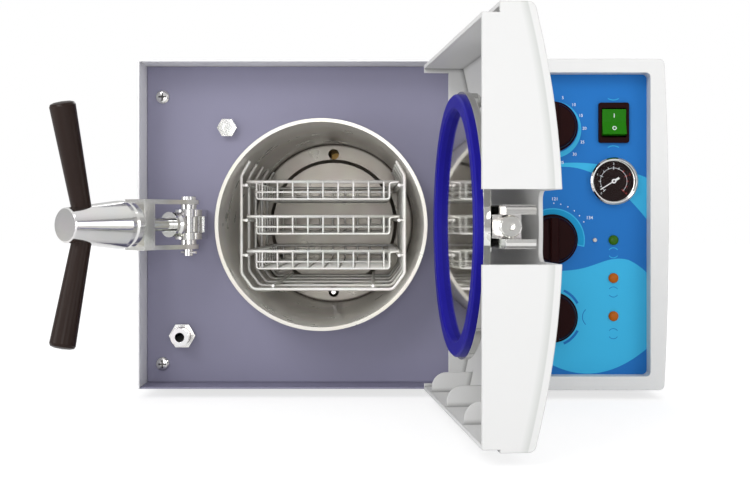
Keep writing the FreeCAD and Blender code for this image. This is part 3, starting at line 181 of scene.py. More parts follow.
def coat_group():
    """Fine orange peel and slow shade changes, for paint and moulded plastic."""
    group = bpy.data.node_groups.new("coat_surface", "ShaderNodeTree")
    socket(group, "Colour", "NodeSocketColor", "INPUT", (1, 1, 1, 1))
    socket(group, "Shade", "NodeSocketColor", "INPUT", (1, 1, 1, 1))
    socket(group, "Grain Scale", "NodeSocketFloat", "INPUT", 900)
    socket(group, "Grain Height", "NodeSocketFloat", "INPUT", 0.1)
    socket(group, "Roughness", "NodeSocketFloat", "INPUT", 0.4)
    socket(group, "Spread", "NodeSocketFloat", "INPUT", 0.06)
    socket(group, "Edge", "NodeSocketFloat", "INPUT", 0.0005)
    socket(group, "Colour", "NodeSocketColor", "OUTPUT")
    socket(group, "Roughness", "NodeSocketFloat", "OUTPUT")
    socket(group, "Normal", "NodeSocketVector", "OUTPUT")
    nodes, links = group.nodes, group.links
    entry = nodes.new("NodeGroupInput")
    leave = nodes.new("NodeGroupOutput")
    where = nodes.new("ShaderNodeTexCoord")
    slow = nodes.new("ShaderNodeTexNoise")
    slow.inputs["Scale"].default_value = 9
    slow.inputs["Detail"].default_value = 4
    fine = nodes.new("ShaderNodeTexNoise")
    fine.inputs["Detail"].default_value = 3
    mix = nodes.new("ShaderNodeMix")
    mix.data_type = "RGBA"
    rough = nodes.new("ShaderNodeMath")
    rough.operation = "MULTIPLY_ADD"
    bump = nodes.new("ShaderNodeBump")
    bump.inputs["Distance"].default_value = 0.0002
    edge = nodes.new("ShaderNodeBevel")
    edge.samples = 6
    links.new(entry.outputs["Edge"], edge.inputs["Radius"])
    links.new(edge.outputs["Normal"], bump.inputs["Normal"])
    links.new(where.outputs["Object"], slow.inputs["Vector"])
    links.new(where.outputs["Object"], fine.inputs["Vector"])
    links.new(entry.outputs["Grain Scale"], fine.inputs["Scale"])
    links.new(slow.outputs["Fac"], mix.inputs["Factor"])
    links.new(entry.outputs["Colour"], mix.inputs["A"])
    links.new(entry.outputs["Shade"], mix.inputs["B"])
    links.new(slow.outputs["Fac"], rough.inputs[0])
    links.new(entry.outputs["Spread"], rough.inputs[1])
    links.new(entry.outputs["Roughness"], rough.inputs[2])
    links.new(entry.outputs["Grain Height"], bump.inputs["Strength"])
    links.new(fine.outputs["Fac"], bump.inputs["Height"])
    links.new(mix.outputs["Result"], leave.inputs["Colour"])
    links.new(rough.outputs[0], leave.inputs["Roughness"])
    links.new(bump.outputs["Normal"], leave.inputs["Normal"])
    return group


coat_surface = coat_group()


def coated(name, colour, shade=0.93, roughness=0.4, grain=900, height=0.12, coat=0.0,
           edge=0.5, gloss=0.5):
    """Paint or moulded plastic in one colour, with its grain."""
    material = bpy.data.materials.new(name)
    material.use_nodes = True
    nodes, links = material.node_tree.nodes, material.node_tree.links
    shader = nodes["Principled BSDF"]
    surface = nodes.new("ShaderNodeGroup")
    surface.node_tree = coat_surface
    surface.inputs["Colour"].default_value = colour
    surface.inputs["Shade"].default_value = tuple(c * shade for c in colour[:3]) + (1,)
    surface.inputs["Grain Scale"].default_value = grain
    surface.inputs["Grain Height"].default_value = height
    surface.inputs["Roughness"].default_value = roughness
    surface.inputs["Edge"].default_value = edge * MM
    links.new(surface.outputs["Colour"], shader.inputs["Base Color"])
    links.new(surface.outputs["Roughness"], shader.inputs["Roughness"])
    links.new(surface.outputs["Normal"], shader.inputs["Normal"])
    shader.inputs["Specular IOR Level"].default_value = gloss
    shader.inputs["Coat Weight"].default_value = coat
    shader.inputs["Coat Roughness"].default_value = 0.12
    return material


def dress(material, *names):
    """Give CAD pieces their finish."""
    for name in names:
        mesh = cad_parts[name].data
        mesh.materials.clear()
        mesh.materials.append(material)


white_paint = coated("white_powder_coat", srgb(240, 240, 241), roughness=0.42, grain=1500)
dress(white_paint, "top_cover", "back_panel")
dress(coated("black_rubber", srgb(38, 38, 40), roughness=0.75, grain=2500, height=0.3), "feet")

# Front panel. A second folded sheet, coated slate violet, with the drain
# nozzle, the door sensor's bolt and two screws let into it.
dress(coated("slate_violet_coat", srgb(131, 129, 152), shade=0.96, roughness=0.5, grain=2200,
             height=0.15), "front_panel", "base_pan")


def metal_group():
    """Fine drawn lines and soft smears, for bare and polished metal."""
    group = bpy.data.node_groups.new("metal_surface", "ShaderNodeTree")
    socket(group, "Colour", "NodeSocketColor", "INPUT", (1, 1, 1, 1))
    socket(group, "Lines", "NodeSocketVector", "INPUT", (1, 1, 1))
    socket(group, "Line Height", "NodeSocketFloat", "INPUT", 0.05)
    socket(group, "Roughness", "NodeSocketFloat", "INPUT", 0.2)
    socket(group, "Spread", "NodeSocketFloat", "INPUT", 0.1)
    socket(group, "Edge", "NodeSocketFloat", "INPUT", 0.0004)
    socket(group, "Colour", "NodeSocketColor", "OUTPUT")
    socket(group, "Roughness", "NodeSocketFloat", "OUTPUT")
    socket(group, "Normal", "NodeSocketVector", "OUTPUT")
    nodes, links = group.nodes, group.links
    entry = nodes.new("NodeGroupInput")
    leave = nodes.new("NodeGroupOutput")
    where = nodes.new("ShaderNodeTexCoord")
    stretch = nodes.new("ShaderNodeVectorMath")
    stretch.operation = "MULTIPLY"
    lines = nodes.new("ShaderNodeTexNoise")
    lines.inputs["Scale"].default_value = 1
    lines.inputs["Detail"].default_value = 4
    smear = nodes.new("ShaderNodeTexNoise")
    smear.inputs["Scale"].default_value = 35
    smear.inputs["Detail"].default_value = 3
    darker = nodes.new("ShaderNodeMix")
    darker.data_type = "RGBA"
    darker.blend_type = "MULTIPLY"
    darker.inputs["Factor"].default_value = 0.12
    rough = nodes.new("ShaderNodeMath")
    rough.operation = "MULTIPLY_ADD"
    bump = nodes.new("ShaderNodeBump")
    bump.inputs["Distance"].default_value = 0.0002
    edge = nodes.new("ShaderNodeBevel")
    edge.samples = 6
    links.new(entry.outputs["Edge"], edge.inputs["Radius"])
    links.new(edge.outputs["Normal"], bump.inputs["Normal"])
    links.new(where.outputs["Object"], stretch.inputs[0])
    links.new(entry.outputs["Lines"], stretch.inputs[1])
    links.new(stretch.outputs[0], lines.inputs["Vector"])
    links.new(where.outputs["Object"], smear.inputs["Vector"])
    links.new(entry.outputs["Colour"], darker.inputs["A"])
    links.new(smear.outputs["Color"], darker.inputs["B"])
    links.new(smear.outputs["Fac"], rough.inputs[0])
    links.new(entry.outputs["Spread"], rough.inputs[1])
    links.new(entry.outputs["Roughness"], rough.inputs[2])
    links.new(entry.outputs["Line Height"], bump.inputs["Strength"])
    links.new(lines.outputs["Fac"], bump.inputs["Height"])
    links.new(darker.outputs["Result"], leave.inputs["Colour"])
    links.new(rough.outputs[0], leave.inputs["Roughness"])
    links.new(bump.outputs["Normal"], leave.inputs["Normal"])
    return group


metal_surface = metal_group()


def metal(name, colour, roughness=0.15, spread=0.1, lines=(300, 300, 300), height=0.05):
    """Bare metal, with its drawn lines running the way that is stretched least."""
    material = bpy.data.materials.new(name)
    material.use_nodes = True
    nodes, links = material.node_tree.nodes, material.node_tree.links
    shader = nodes["Principled BSDF"]
    shader.inputs["Metallic"].default_value = 1
    surface = nodes.new("ShaderNodeGroup")
    surface.node_tree = metal_surface
    surface.inputs["Colour"].default_value = colour
    surface.inputs["Lines"].default_value = lines
    surface.inputs["Line Height"].default_value = height
    surface.inputs["Roughness"].default_value = roughness
    surface.inputs["Spread"].default_value = spread
    links.new(surface.outputs["Colour"], shader.inputs["Base Color"])
    links.new(surface.outputs["Roughness"], shader.inputs["Roughness"])
    links.new(surface.outputs["Normal"], shader.inputs["Normal"])
    return material


def value_node(nodes, links, operation, *sources):
    """A math node fed by sockets or plain numbers; gives its output socket."""
    node = nodes.new("ShaderNodeMath")
    node.operation = operation
    for entry, source in zip(node.inputs, sources):
        if isinstance(source, (int, float)):
            entry.default_value = source
        else:
            links.new(source, entry)
    return node.outputs[0]


def faded(nodes, links, source, start, end):
    """Nought at one value and one at the other, with an even slope between."""
    node = nodes.new("ShaderNodeMapRange")
    node.inputs["From Min"].default_value = start
    node.inputs["From Max"].default_value = end
    links.new(source, node.inputs["Value"])
    return node.outputs["Result"]


def laid_over(nodes, links, under, colour, mask, blend="MIX"):
    """A colour laid over another one where a mask says."""
    layer = nodes.new("ShaderNodeMix")
    layer.data_type = "RGBA"
    layer.blend_type = blend
    layer.inputs["B"].default_value = colour
    links.new(mask, layer.inputs["Factor"])
    if isinstance(under, tuple):
        layer.inputs["A"].default_value = under
    else:
        links.new(under, layer.inputs["A"])
    return layer.outputs["Result"]


def object_axes(nodes, links):
    """The X, Y and Z of the point that is shaded, in the part's own frame."""
    where = nodes.new("ShaderNodeTexCoord")
    axes = nodes.new("ShaderNodeSeparateXYZ")
    links.new(where.outputs["Object"], axes.inputs[0])
    return axes.outputs["X"], axes.outputs["Y"], axes.outputs["Z"]


def surface_of(nodes):
    """The group node that makes a material's coat or metal surface."""
    return next(node for node in nodes if node.type == "GROUP")


def screw_heads(low, high):
    """Plated steel, with painted shade in the shape of a cross recess in each of the two heads."""
    slot_half, cross_reach = 0.8 * MM, 3.6 * MM
    material = metal("cross_head_steel", srgb(232, 231, 229), roughness=0.12, spread=0.08)
    nodes, links = material.node_tree.nodes, material.node_tree.links
    step = partial(value_node, nodes, links)
    surface = surface_of(nodes)
    x, _, z = object_axes(nodes, links)
    head_r = (high.x - low.x) / 2
    off_middle = (high.z - low.z) / 2 - head_r
    across = step("ABSOLUTE", step("SUBTRACT", x, (low.x + high.x) / 2))
    along = step("ABSOLUTE", step("SUBTRACT", z, (low.z + high.z) / 2))
    along = step("ABSOLUTE", step("SUBTRACT", along, off_middle))
    # Painted shade where the cross recess of each head lies.
    recess_shade = step("MULTIPLY", step("LESS_THAN", step("MINIMUM", across, along), slot_half),
                  step("LESS_THAN", step("MAXIMUM", across, along), cross_reach))
    colour = laid_over(nodes, links, surface.outputs["Colour"], srgb(92, 90, 90), recess_shade)
    links.new(colour, nodes["Principled BSDF"].inputs["Base Color"])
    return material


bright_plate = metal("bright_plated_steel", srgb(232, 231, 229), roughness=0.08, spread=0.08)
dress(bright_plate, "drain_nozzle", "sensor_bolt")
dress(screw_heads(*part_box("panel_screws")), "panel_screws")
zinc = metal("zinc_plated_sheet", srgb(196, 199, 202), roughness=0.32, spread=0.15,
             lines=(40, 900, 900), height=0.1)
dress(zinc, "front_saddle", "rear_saddle", "reset_body")

# Pressure vessel. A deep drawn pot of stainless steel, spun smooth inside,
# its end plate welded in and its rim turned true for the seal.


def vessel_finish(low, high):
    """Satin steel, with painted shade on the end plate at the back, near black in the corner where the
    wall meets the end plate, and a little on the rim's lit front face.
    """
    material = metal("spun_stainless", srgb(238, 235, 229), roughness=0.22, spread=0.16,
                     lines=(60, 900, 60), height=0.12)
    nodes, links = material.node_tree.nodes, material.node_tree.links
    step = partial(value_node, nodes, links)
    fade = partial(faded, nodes, links)
    surface = surface_of(nodes)
    shader = nodes["Principled BSDF"]
    shader.inputs["Metallic"].default_value = 0.55
    x, y, z = object_axes(nodes, links)
    across, up = step("SUBTRACT", x, axis_x), step("SUBTRACT", z, axis_z)
    radius = step("SQRT", step("ADD", step("MULTIPLY", across, across), step("MULTIPLY", up, up)))
    # Masks for painted shade: the end plate at the back of the pot, the corner where the wall meets it,
    # and the rim's front face.
    end_plate_shade = fade(y, high.y - 40 * MM, high.y - 8 * MM)
    near_wall = fade(radius, 86.5 * MM, 88.5 * MM)
    near_end = fade(y, high.y - 14 * MM, high.y - 9 * MM)
    rim = fade(y, low.y + 0.8 * MM, low.y + 0.4 * MM)
    colour = surface.outputs["Colour"]
    # Painted shade: the end plate darker, the corner near black, the rim's lit face a little darker.
    for shade, mask in ((srgb(186, 182, 177), end_plate_shade),
                        (srgb(96, 88, 82), step("MULTIPLY", near_wall, near_end)),
                        (srgb(226, 225, 221), rim)):
        colour = laid_over(nodes, links, colour, shade, mask, "MULTIPLY")
    links.new(colour, shader.inputs["Base Color"])
    return material


dress(vessel_finish(*chamber), "pressure_vessel")
dress(bright_plate, "strainer_nut")
dress(metal("aluminium_band", srgb(200, 201, 203), roughness=0.35), "heater_band")

# Rack and baskets. Round stainless wire, bent and spot welded, then
# electropolished. The rack stands in the vessel; the baskets hang in it.
wire_steel = metal("electropolished_wire", srgb(246, 245, 241), roughness=0.3, spread=0.1)
wire_steel.node_tree.nodes["Principled BSDF"].inputs["Metallic"].default_value = 0.35


def new_piece(name, mesh, material, body, replaced=()):
    """Put a finished mesh in the scene and on its body."""
    mesh.materials.clear()
    mesh.materials.append(material)
    item = bpy.data.objects.new(name, mesh)
    scene.collection.objects.link(item)
    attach(item, body)
    if replaced:
        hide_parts(*replaced)


CORNER_POINTS = 6


def eased(points, radius):
    """A run of points with each inner corner turned into a small arc."""
    run = [Vector(points[0])]
    for before, corner, after in zip(points, points[1:], points[2:]):
        before, corner, after = Vector(before), Vector(corner), Vector(after)
        arrive = (corner - before).normalized()
        leave = (after - corner).normalized()
        trim = min(radius * math.tan(arrive.angle(leave) / 2), (corner - before).length * 0.45,
                   (after - corner).length * 0.45)
        start, end = corner - arrive * trim, corner + leave * trim
        for step in range(CORNER_POINTS):
            share = step / (CORNER_POINTS - 1)
            run.append(start.lerp(corner, share).lerp(corner.lerp(end, share), share))
    run.append(Vector(points[-1]))
    return run


def wire_mesh(name, wires):
    """One mesh of round wires, each a run of points, a radius and whether it closes."""
    curve = bpy.data.curves.new(name, "CURVE")
    curve.dimensions = "3D"
    curve.bevel_depth = 1.0
    curve.bevel_resolution = 2
    curve.use_fill_caps = True
    for points, radius, closed in wires:
        spline = curve.splines.new("POLY")
        spline.points.add(len(points) - 1)
        for point, place in zip(spline.points, points):
            point.co = (*place, 1)
            point.radius = radius
        spline.use_cyclic_u = closed
    item = bpy.data.objects.new(name, curve)
    scene.collection.objects.link(item)
    bpy.context.view_layer.update()
    mesh = bpy.data.meshes.new_from_object(item.evaluated_get(bpy.context.evaluated_depsgraph_get()))
    bpy.data.objects.remove(item)
    for face in mesh.polygons:
        face.use_smooth = True
    return mesh


def basket_wires(low, high):
    """Rim, floor grid and walls of one basket, inside its box."""
    rim_r, mesh_r = 1.5 * MM, 0.9 * MM
    rim_bend, mesh_bend, girdle_bend = 5 * MM, 2.5 * MM, 3 * MM
    rim_overhang = 9 * MM
    columns, rows = 8, 9
    first_column, girdle_rise = 0.05, 0.4
    x0, x1 = low.x + rim_overhang, high.x - rim_overhang
    top = high.z - rim_r
    bottom = low.z + mesh_r
    front, back = low.y + mesh_r, high.y - mesh_r

    def closed_ring(left, right, near, far, height, bend, radius):
        corners = [(left, near, height), (right, near, height), (right, far, height),
                   (left, far, height), (left, near, height), (right, near, height)]
        # The first corner keeps only its last point, so the ring is cut straight there.
        return eased(corners, bend)[CORNER_POINTS:-1], radius, True

    wires = [closed_ring(low.x + rim_r, high.x - rim_r, low.y + rim_r, high.y - rim_r, top,
                         rim_bend, rim_r)]
    for column in range(columns + 1):
        x = x0 + (x1 - x0) * (first_column + (1 - 2 * first_column) * column / columns)
        run = [(x, front, top), (x, front, bottom + mesh_r), (x, back, bottom + mesh_r),
               (x, back, top)]
        wires.append((eased(run, mesh_bend), mesh_r, False))
    for row in range(rows + 1):
        y = front + mesh_r + (high.y - low.y - 4 * mesh_r) * row / rows
        run = [(low.x + rim_r, y, top), (x0 + mesh_r, y, top - mesh_r), (x0 + mesh_r, y, bottom),
               (x1 - mesh_r, y, bottom), (x1 - mesh_r, y, top - mesh_r), (high.x - rim_r, y, top)]
        wires.append((eased(run, mesh_bend), mesh_r, False))
    girdle = bottom + (top - bottom) * girdle_rise
    wires.append(closed_ring(x0, x1, front, back, girdle, girdle_bend, mesh_r))
    return wires


for name in ("upper_basket", "middle_basket", "lower_basket"):
    new_piece(name + "_wires", wire_mesh(name, basket_wires(*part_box(name))), wire_steel, "root",
              (name,))


def rack_wires(low, high):
    """Bent frames, the rails that the baskets hang on, and the floor wires."""
    thick, bend = 1.5 * MM, 7 * MM
    frames, levels = 5, 3
    rail_past_frame = 4 * MM
    top_half, top_rise, shoulder, floor_half = 66 * MM, 57 * MM, 44 * MM, 63 * MM
    rail_half, runner_half = 68.5 * MM, 45 * MM
    upper_rail, pitch = 35.2 * MM, 31.5 * MM
    middle = (low.x + high.x) / 2
    floor_z = low.z + thick
    axis = low.z + 60 * MM
    side = (high.x - low.x) / 2 - thick
    start, end = low.y + rail_past_frame + thick, high.y - rail_past_frame - thick
    stations = [start + (end - start) * number / (frames - 1) for number in range(frames)]
    half = [(-top_half, top_rise), (-side, shoulder), (-side, -shoulder),
            (-floor_half, floor_z - axis)]
    loop = half + [(-x, z) for x, z in reversed(half)]
    wires = []
    for y in stations:
        wires.append((eased([(middle + x, y, axis + z) for x, z in loop], bend), thick, False))
    for level in range(levels):
        z = axis + upper_rail - level * pitch
        for sign in (-1, 1):
            rail = middle + sign * rail_half
            wires.append(([(rail, low.y, z), (rail, high.y, z)], thick, False))
            for y in stations:
                wires.append(([(rail, y, z), (middle + sign * side, y, z)], thick * 0.85, False))
    for sign in (-1, 1):
        x, z = middle + sign * runner_half, floor_z + 2 * thick
        wires.append(([(x, start, z), (x, end, z)], thick, False))
    return wires


new_piece("rack_wires", wire_mesh("rack", rack_wires(*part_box("chamber_rack"))), wire_steel, "root",
          ("chamber_rack",))

# Door. A polished steel plate hangs by its middle from an arm of two bars,
# and carries a silicone ring and a white moulded cover on four studs.
mirror_steel = metal("mirror_stainless", srgb(222, 221, 218), roughness=0.03, spread=0.05,
                     lines=(20, 20, 20), height=0.02)
dress(mirror_steel, "door_plate")
polished = metal("polished_stainless", srgb(226, 225, 222), roughness=0.1, spread=0.08)
dress(polished, "door_arm", "door_boss", "arm_nut", "cover_studs", "edge_bolt", "hinge_bracket",
      "hinge_pin")
dress(coated("blue_silicone", srgb(26, 20, 142), shade=0.85, roughness=0.42, grain=600,
             height=0.05, edge=1.0, gloss=0.12), "door_seal")


def cover_finish(low, high):
    """White moulding, with painted shade in its creases and in the groove along its free end."""
    bow_sag, bow_half = 17 * MM, 138.5 * MM
    groove_reach = 12 * MM
    material = coated("white_moulding", srgb(213, 213, 212), shade=0.98, roughness=0.4,
                      grain=1800, height=0.06, edge=1.2, gloss=0.3)
    nodes, links = material.node_tree.nodes, material.node_tree.links
    step = partial(value_node, nodes, links)
    fade = partial(faded, nodes, links)
    surface = surface_of(nodes)
    x, y, z = object_axes(nodes, links)
    up = step("SUBTRACT", z, axis_z)
    fallen = step("MULTIPLY_ADD", step("MULTIPLY", up, up), bow_sag / bow_half ** 2, x)
    inward = step("SUBTRACT", high.x, fallen)
    # Painted shade along the groove: a darker band that follows the bowed free end.
    groove_shade = nodes.new("ShaderNodeValToRGB")
    ramp = groove_shade.color_ramp.elements
    ramp[0].position, ramp[1].position = 0.3, 0.36
    ramp[0].color, ramp[1].color = (0, 0, 0, 1), (1, 1, 1, 1)
    ramp.new(0.45).color = (0.8, 0.8, 0.8, 1)
    ramp.new(0.8).color = (0, 0, 0, 1)
    links.new(fade(inward, 0.0, groove_reach), groove_shade.inputs["Fac"])
    free_end = fade(y, low.y + 11 * MM, low.y + 10 * MM)
    band = step("MULTIPLY", groove_shade.outputs["Color"], free_end)
    colour = laid_over(nodes, links, surface.outputs["Colour"], srgb(232, 234, 232), band,
                       "MULTIPLY")
    # Painted shade in the creases: ambient occlusion darkens the base colour.
    crease_shade = nodes.new("ShaderNodeAmbientOcclusion")
    crease_shade.samples = 8
    crease_shade.inputs["Distance"].default_value = 4 * MM
    links.new(colour, crease_shade.inputs["Color"])
    links.new(crease_shade.outputs["Color"], nodes["Principled BSDF"].inputs["Base Color"])
    return material


dress(cover_finish(*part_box("door_cover")), "door_cover")
# The bezel's white is lighter than the cover's: painted light that makes up for the shade the open
# cover casts on it.
dress(coated("white_bezel", srgb(222, 222, 221), shade=0.98, roughness=0.4, grain=1800,
             height=0.06, edge=1.2, gloss=0.3), "control_bezel")

# Clamp. Plated steel: a screw whose eye swings on a pin in the bracket, a
# stack of spring washers, a yoke, and a turned hub with two black grips.
dress(bright_plate, "clamp_screw", "clamp_yoke", "clamp_washers", "clamp_pin", "clamp_bracket",
      "clamp_hub")
black_plastic = coated("black_phenolic", srgb(38, 25, 20), shade=0.8, roughness=0.3, grain=500,
                       height=0.05, coat=0.05, edge=1.0, gloss=0.14)
dress(black_plastic, "upper_grip", "lower_grip")

# Control plate. An aluminium sheet printed in two blues behind the bezel, with
# plain arcs behind the upper knobs. The printed field and arcs are generic.
plate_low, plate_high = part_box("control_plate")
PLATE_DARK, PLATE_LIGHT, PLATE_ACCENT = srgb(34, 113, 189), srgb(60, 178, 224), srgb(24, 148, 200)
knob_axes = {}
for name in ("timer", "temperature", "selector"):
    low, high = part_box(name + "_knob")
    knob_axes[name] = ((low.x + high.x) / 2, (low.z + high.z) / 2)


def arc_group():
    """Where a ring round a centre lies between two radii and two clock angles."""
    group = bpy.data.node_groups.new("printed_arc", "ShaderNodeTree")
    for name, default in (("X", 0), ("Z", 0), ("Centre X", 0), ("Centre Z", 0), ("Inner", 0.02),
                          ("Outer", 0.03), ("Start", 0), ("End", 3.14)):
        socket(group, name, "NodeSocketFloat", "INPUT", default)
    socket(group, "Mask", "NodeSocketFloat", "OUTPUT")
    nodes, links = group.nodes, group.links
    entry = nodes.new("NodeGroupInput")
    leave = nodes.new("NodeGroupOutput")

    step = partial(value_node, nodes, links)
    across = step("SUBTRACT", entry.outputs["X"], entry.outputs["Centre X"])
    up = step("SUBTRACT", entry.outputs["Z"], entry.outputs["Centre Z"])
    radius = step("SQRT", step("ADD", step("MULTIPLY", across, across), step("MULTIPLY", up, up)))
    clock = step("ARCTAN2", across, up)
    turned = step("ADD", clock, step("MULTIPLY", step("LESS_THAN", clock, 0.0), 2 * math.pi))
    ring = step("MULTIPLY", step("GREATER_THAN", radius, entry.outputs["Inner"]),
                step("LESS_THAN", radius, entry.outputs["Outer"]))
    sweep = step("MULTIPLY", step("GREATER_THAN", turned, entry.outputs["Start"]),
                 step("LESS_THAN", turned, entry.outputs["End"]))
    links.new(step("MULTIPLY", ring, sweep), leave.inputs["Mask"])
    return group


printed_arc = arc_group()


def arc_mask(nodes, links, x, z, settings):
    """The mask of one printed arc, with the group's numbers set by name."""
    mask = nodes.new("ShaderNodeGroup")
    mask.node_tree = printed_arc
    links.new(x, mask.inputs["X"])
    links.new(z, mask.inputs["Z"])
    for key, number in settings.items():
        mask.inputs[key].default_value = number
    return mask.outputs["Mask"]


def plate_print():
    """The plate's coat, with its light field and its arcs laid over the blue."""
    material = coated("printed_plate", PLATE_DARK, shade=0.97, roughness=0.4, height=0.04,
                      gloss=0.1)
    nodes, links = material.node_tree.nodes, material.node_tree.links
    step = partial(value_node, nodes, links)
    overlay = partial(laid_over, nodes, links)
    surface = surface_of(nodes)
    x, _, z = object_axes(nodes, links)

    def parabola(centre, level, bend, right_only=False):
        """A curve's height over the plate's width: level at a centre, bending from there."""
        across = step("SUBTRACT", x, plate_high.x - centre * MM)
        if right_only:
            across = step("MAXIMUM", across, 0.0)
        return step("MULTIPLY_ADD", step("MULTIPLY", across, across), bend,
                    plate_high.z - level * MM)

    def between(lower, upper):
        return step("MULTIPLY", step("GREATER_THAN", z, lower), step("LESS_THAN", z, upper))

    def disc(centre, right, up, radius, start=-1, end=400):
        return arc_mask(nodes, links, x, z,
                        {"Centre X": centre[0] + right * MM, "Centre Z": centre[1] + up * MM,
                         "Inner": -1.0, "Outer": radius * MM,
                         "Start": math.radians(start), "End": math.radians(end)})

    crest_left_of_edge, crest_half, crest_rise, shore_level = 27.7, 26.5, 11.1, 177.5
    off_crest = step("MULTIPLY", step("SUBTRACT", x, plate_high.x - crest_left_of_edge * MM),
                     1 / (crest_half * MM))
    crest = step("EXPONENT", step("MULTIPLY", step("MULTIPLY", off_crest, off_crest), -1.0))
    shore = step("MULTIPLY_ADD", crest, crest_rise * MM, plate_high.z - shore_level * MM)
    shore = step("MINIMUM", shore, parabola(centre=34.6, level=164.0, bend=-14.61, right_only=True))
    field = between(parabola(centre=55.6, level=268.4, bend=7.97), shore)
    band = between(parabola(centre=76.6, level=84.8, bend=-8.59),
                   parabola(centre=67.6, level=81.2, bend=-3.19))
    timer, temperature = knob_axes["timer"], knob_axes["temperature"]
    colour = PLATE_DARK
    for ink, mask in (
            (PLATE_LIGHT, field),
            (PLATE_LIGHT, band),
            (PLATE_LIGHT, disc(timer, right=0.4, up=-2.2, radius=25.6)),
            (PLATE_DARK, disc(timer, right=0, up=0, radius=23.5)),
            (PLATE_LIGHT, disc(temperature, right=0.8, up=-0.6, radius=28.4, start=0, end=102)),
            (PLATE_LIGHT, disc(temperature, right=0.8, up=-0.6, radius=28.4, start=290)),
            (PLATE_ACCENT, disc(temperature, right=0.8, up=-0.6, radius=27.5, start=0, end=100)),
            (PLATE_ACCENT, disc(temperature, right=0.8, up=-0.6, radius=27.5, start=292))):
        colour = overlay(colour, ink, mask)
    links.new(colour, surface.inputs["Colour"])
    links.new(colour, surface.inputs["Shade"])
    return material


dress(plate_print(), "control_plate")

# Printed scales. Minutes round the timer knob, two temperatures and small dots
# in white ink, and plain arcs in the two blues by the switch, lamps and selector.
INK = coated("white_ink", srgb(238, 243, 248), roughness=0.5, height=0.02, edge=0.0)
INK_DEEP = 0.04 * MM
face_y = plate_low.y - 0.02 * MM


def flat_mesh(name, corners, faces):
    mesh = bpy.data.meshes.new(name)
    mesh.from_pydata(corners, [], faces)
    return mesh


def bar_mesh(name, half_wide, low, high):
    """A flat upright bar in the X-Z plane."""
    corners = [(-half_wide, 0, low), (half_wide, 0, low), (half_wide, 0, high),
               (-half_wide, 0, high)]
    return flat_mesh(name, corners, [(0, 1, 2, 3)])


def text_mesh(name, words, size):
    """Raised figures, lying on a plane that faces the front."""
    curve = bpy.data.curves.new(name, "FONT")
    curve.body = words
    curve.size = size
    curve.align_x = "CENTER"
    curve.align_y = "CENTER"
    curve.extrude = INK_DEEP / 2
    curve.resolution_u = 3
    item = bpy.data.objects.new(name, curve)
    scene.collection.objects.link(item)
    bpy.context.view_layer.update()
    mesh = bpy.data.meshes.new_from_object(item.evaluated_get(bpy.context.evaluated_depsgraph_get()))
    bpy.data.objects.remove(item)
    mesh.transform(Matrix.Rotation(math.radians(90), 4, "X"))
    return mesh


def ring_mesh(name, inner, outer, start, end, steps=40):
    """A flat arc in the X-Z plane between two clock angles."""
    corners, faces = [], []
    for number in range(steps + 1):
        angle = math.radians(start + (end - start) * number / steps)
        for radius in (inner, outer):
            corners.append((radius * math.sin(angle), 0, radius * math.cos(angle)))
    for number in range(steps):
        first = 2 * number
        faces.append((first, first + 1, first + 3, first + 2))
    return flat_mesh(name, corners, faces)


def joined(name, meshes):
    """One mesh of several."""
    whole = bmesh.new()
    for mesh in meshes:
        whole.from_mesh(mesh)
    result = bpy.data.meshes.new(name)
    whole.to_mesh(result)
    whole.free()
    return result


def moved(mesh, x, y, z):
    mesh.transform(Matrix.Translation((x, y, z)))
    return mesh


def clock(centre, radius, angle):
    """The point at a clock angle, in degrees, round a centre in the X-Z plane."""
    turn = math.radians(angle)
    return centre[0] + radius * math.sin(turn), centre[1] + radius * math.cos(turn)


FIGURE = 3.7 * MM
timer, temperature, selector = (knob_axes[name] for name in ("timer", "temperature", "selector"))
marks = []
MINUTE_FIGURES, FIRST_FIGURE, FIGURE_STEP = 12, 20.5, 24
NEAR_FIGURE, FIGURE_DRIFT = 27.6, 1.3
for number in range(MINUTE_FIGURES):
    away = NEAR_FIGURE + FIGURE_DRIFT * min(max(number - 2, 0), 4)
    x, z = clock(timer, away * MM, FIRST_FIGURE + FIGURE_STEP * number)
    marks.append(moved(text_mesh("figure", str(5 * (number + 1)), FIGURE), x, face_y, z))
for figure, angle, radius in (("121", 4, 36), ("134", 60, 38.5)):
    x, z = clock(temperature, radius * MM, angle)
    marks.append(moved(text_mesh("figure", figure, FIGURE * 1.1), x, face_y, z))
for angle in (3, 14, 26, 38, 49, 61):
    x, z = clock(temperature, 32.3 * MM, angle)
    marks.append(moved(ring_mesh("dot", 0, 0.5 * MM, 0, 360, 12), x, face_y, z))
new_piece("plate_figures", joined("plate_figures", marks), INK, "root")


def printed_ring(centre, inner, outer, start, end, steps=20):
    """One printed arc on the plate, its radii in millimetres."""
    mesh = ring_mesh("arc", inner * MM, outer * MM, start, end, steps)
    return moved(mesh, centre[0], face_y, centre[1])


switch_low, switch_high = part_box("switch_frame")
switch_x = (switch_low.x + switch_high.x) / 2
switch_z = (switch_low.z + switch_high.z) / 2
pale_arcs, deep_arcs = [], []
for sign, start in ((1, 148), (-1, -32)):
    pale_arcs.append(printed_ring((switch_x, switch_z + sign * 29.5 * MM), 8.8, 9.5, start,
                                  start + 64, 16))
for lamp, drop, group in (("power_lamp", 11.3, pale_arcs), ("dry_lamp", 12.4, deep_arcs),
                          ("heat_lamp", 15.6, deep_arcs)):
    low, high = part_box(lamp)
    centre = (low.x + high.x) / 2, (low.z + high.z) / 2 - drop * MM
    for start in (-55, 125):
        group.append(printed_ring(centre, 4.2, 4.8, start, start + 110))
for start, end in ((24, 62), (118, 156)):
    deep_arcs.append(printed_ring(selector, 24.6, 26.8, start, end))
deep_arcs.append(printed_ring((selector[0] + 36 * MM, selector[1]), 8.6, 9.3, 222, 318))
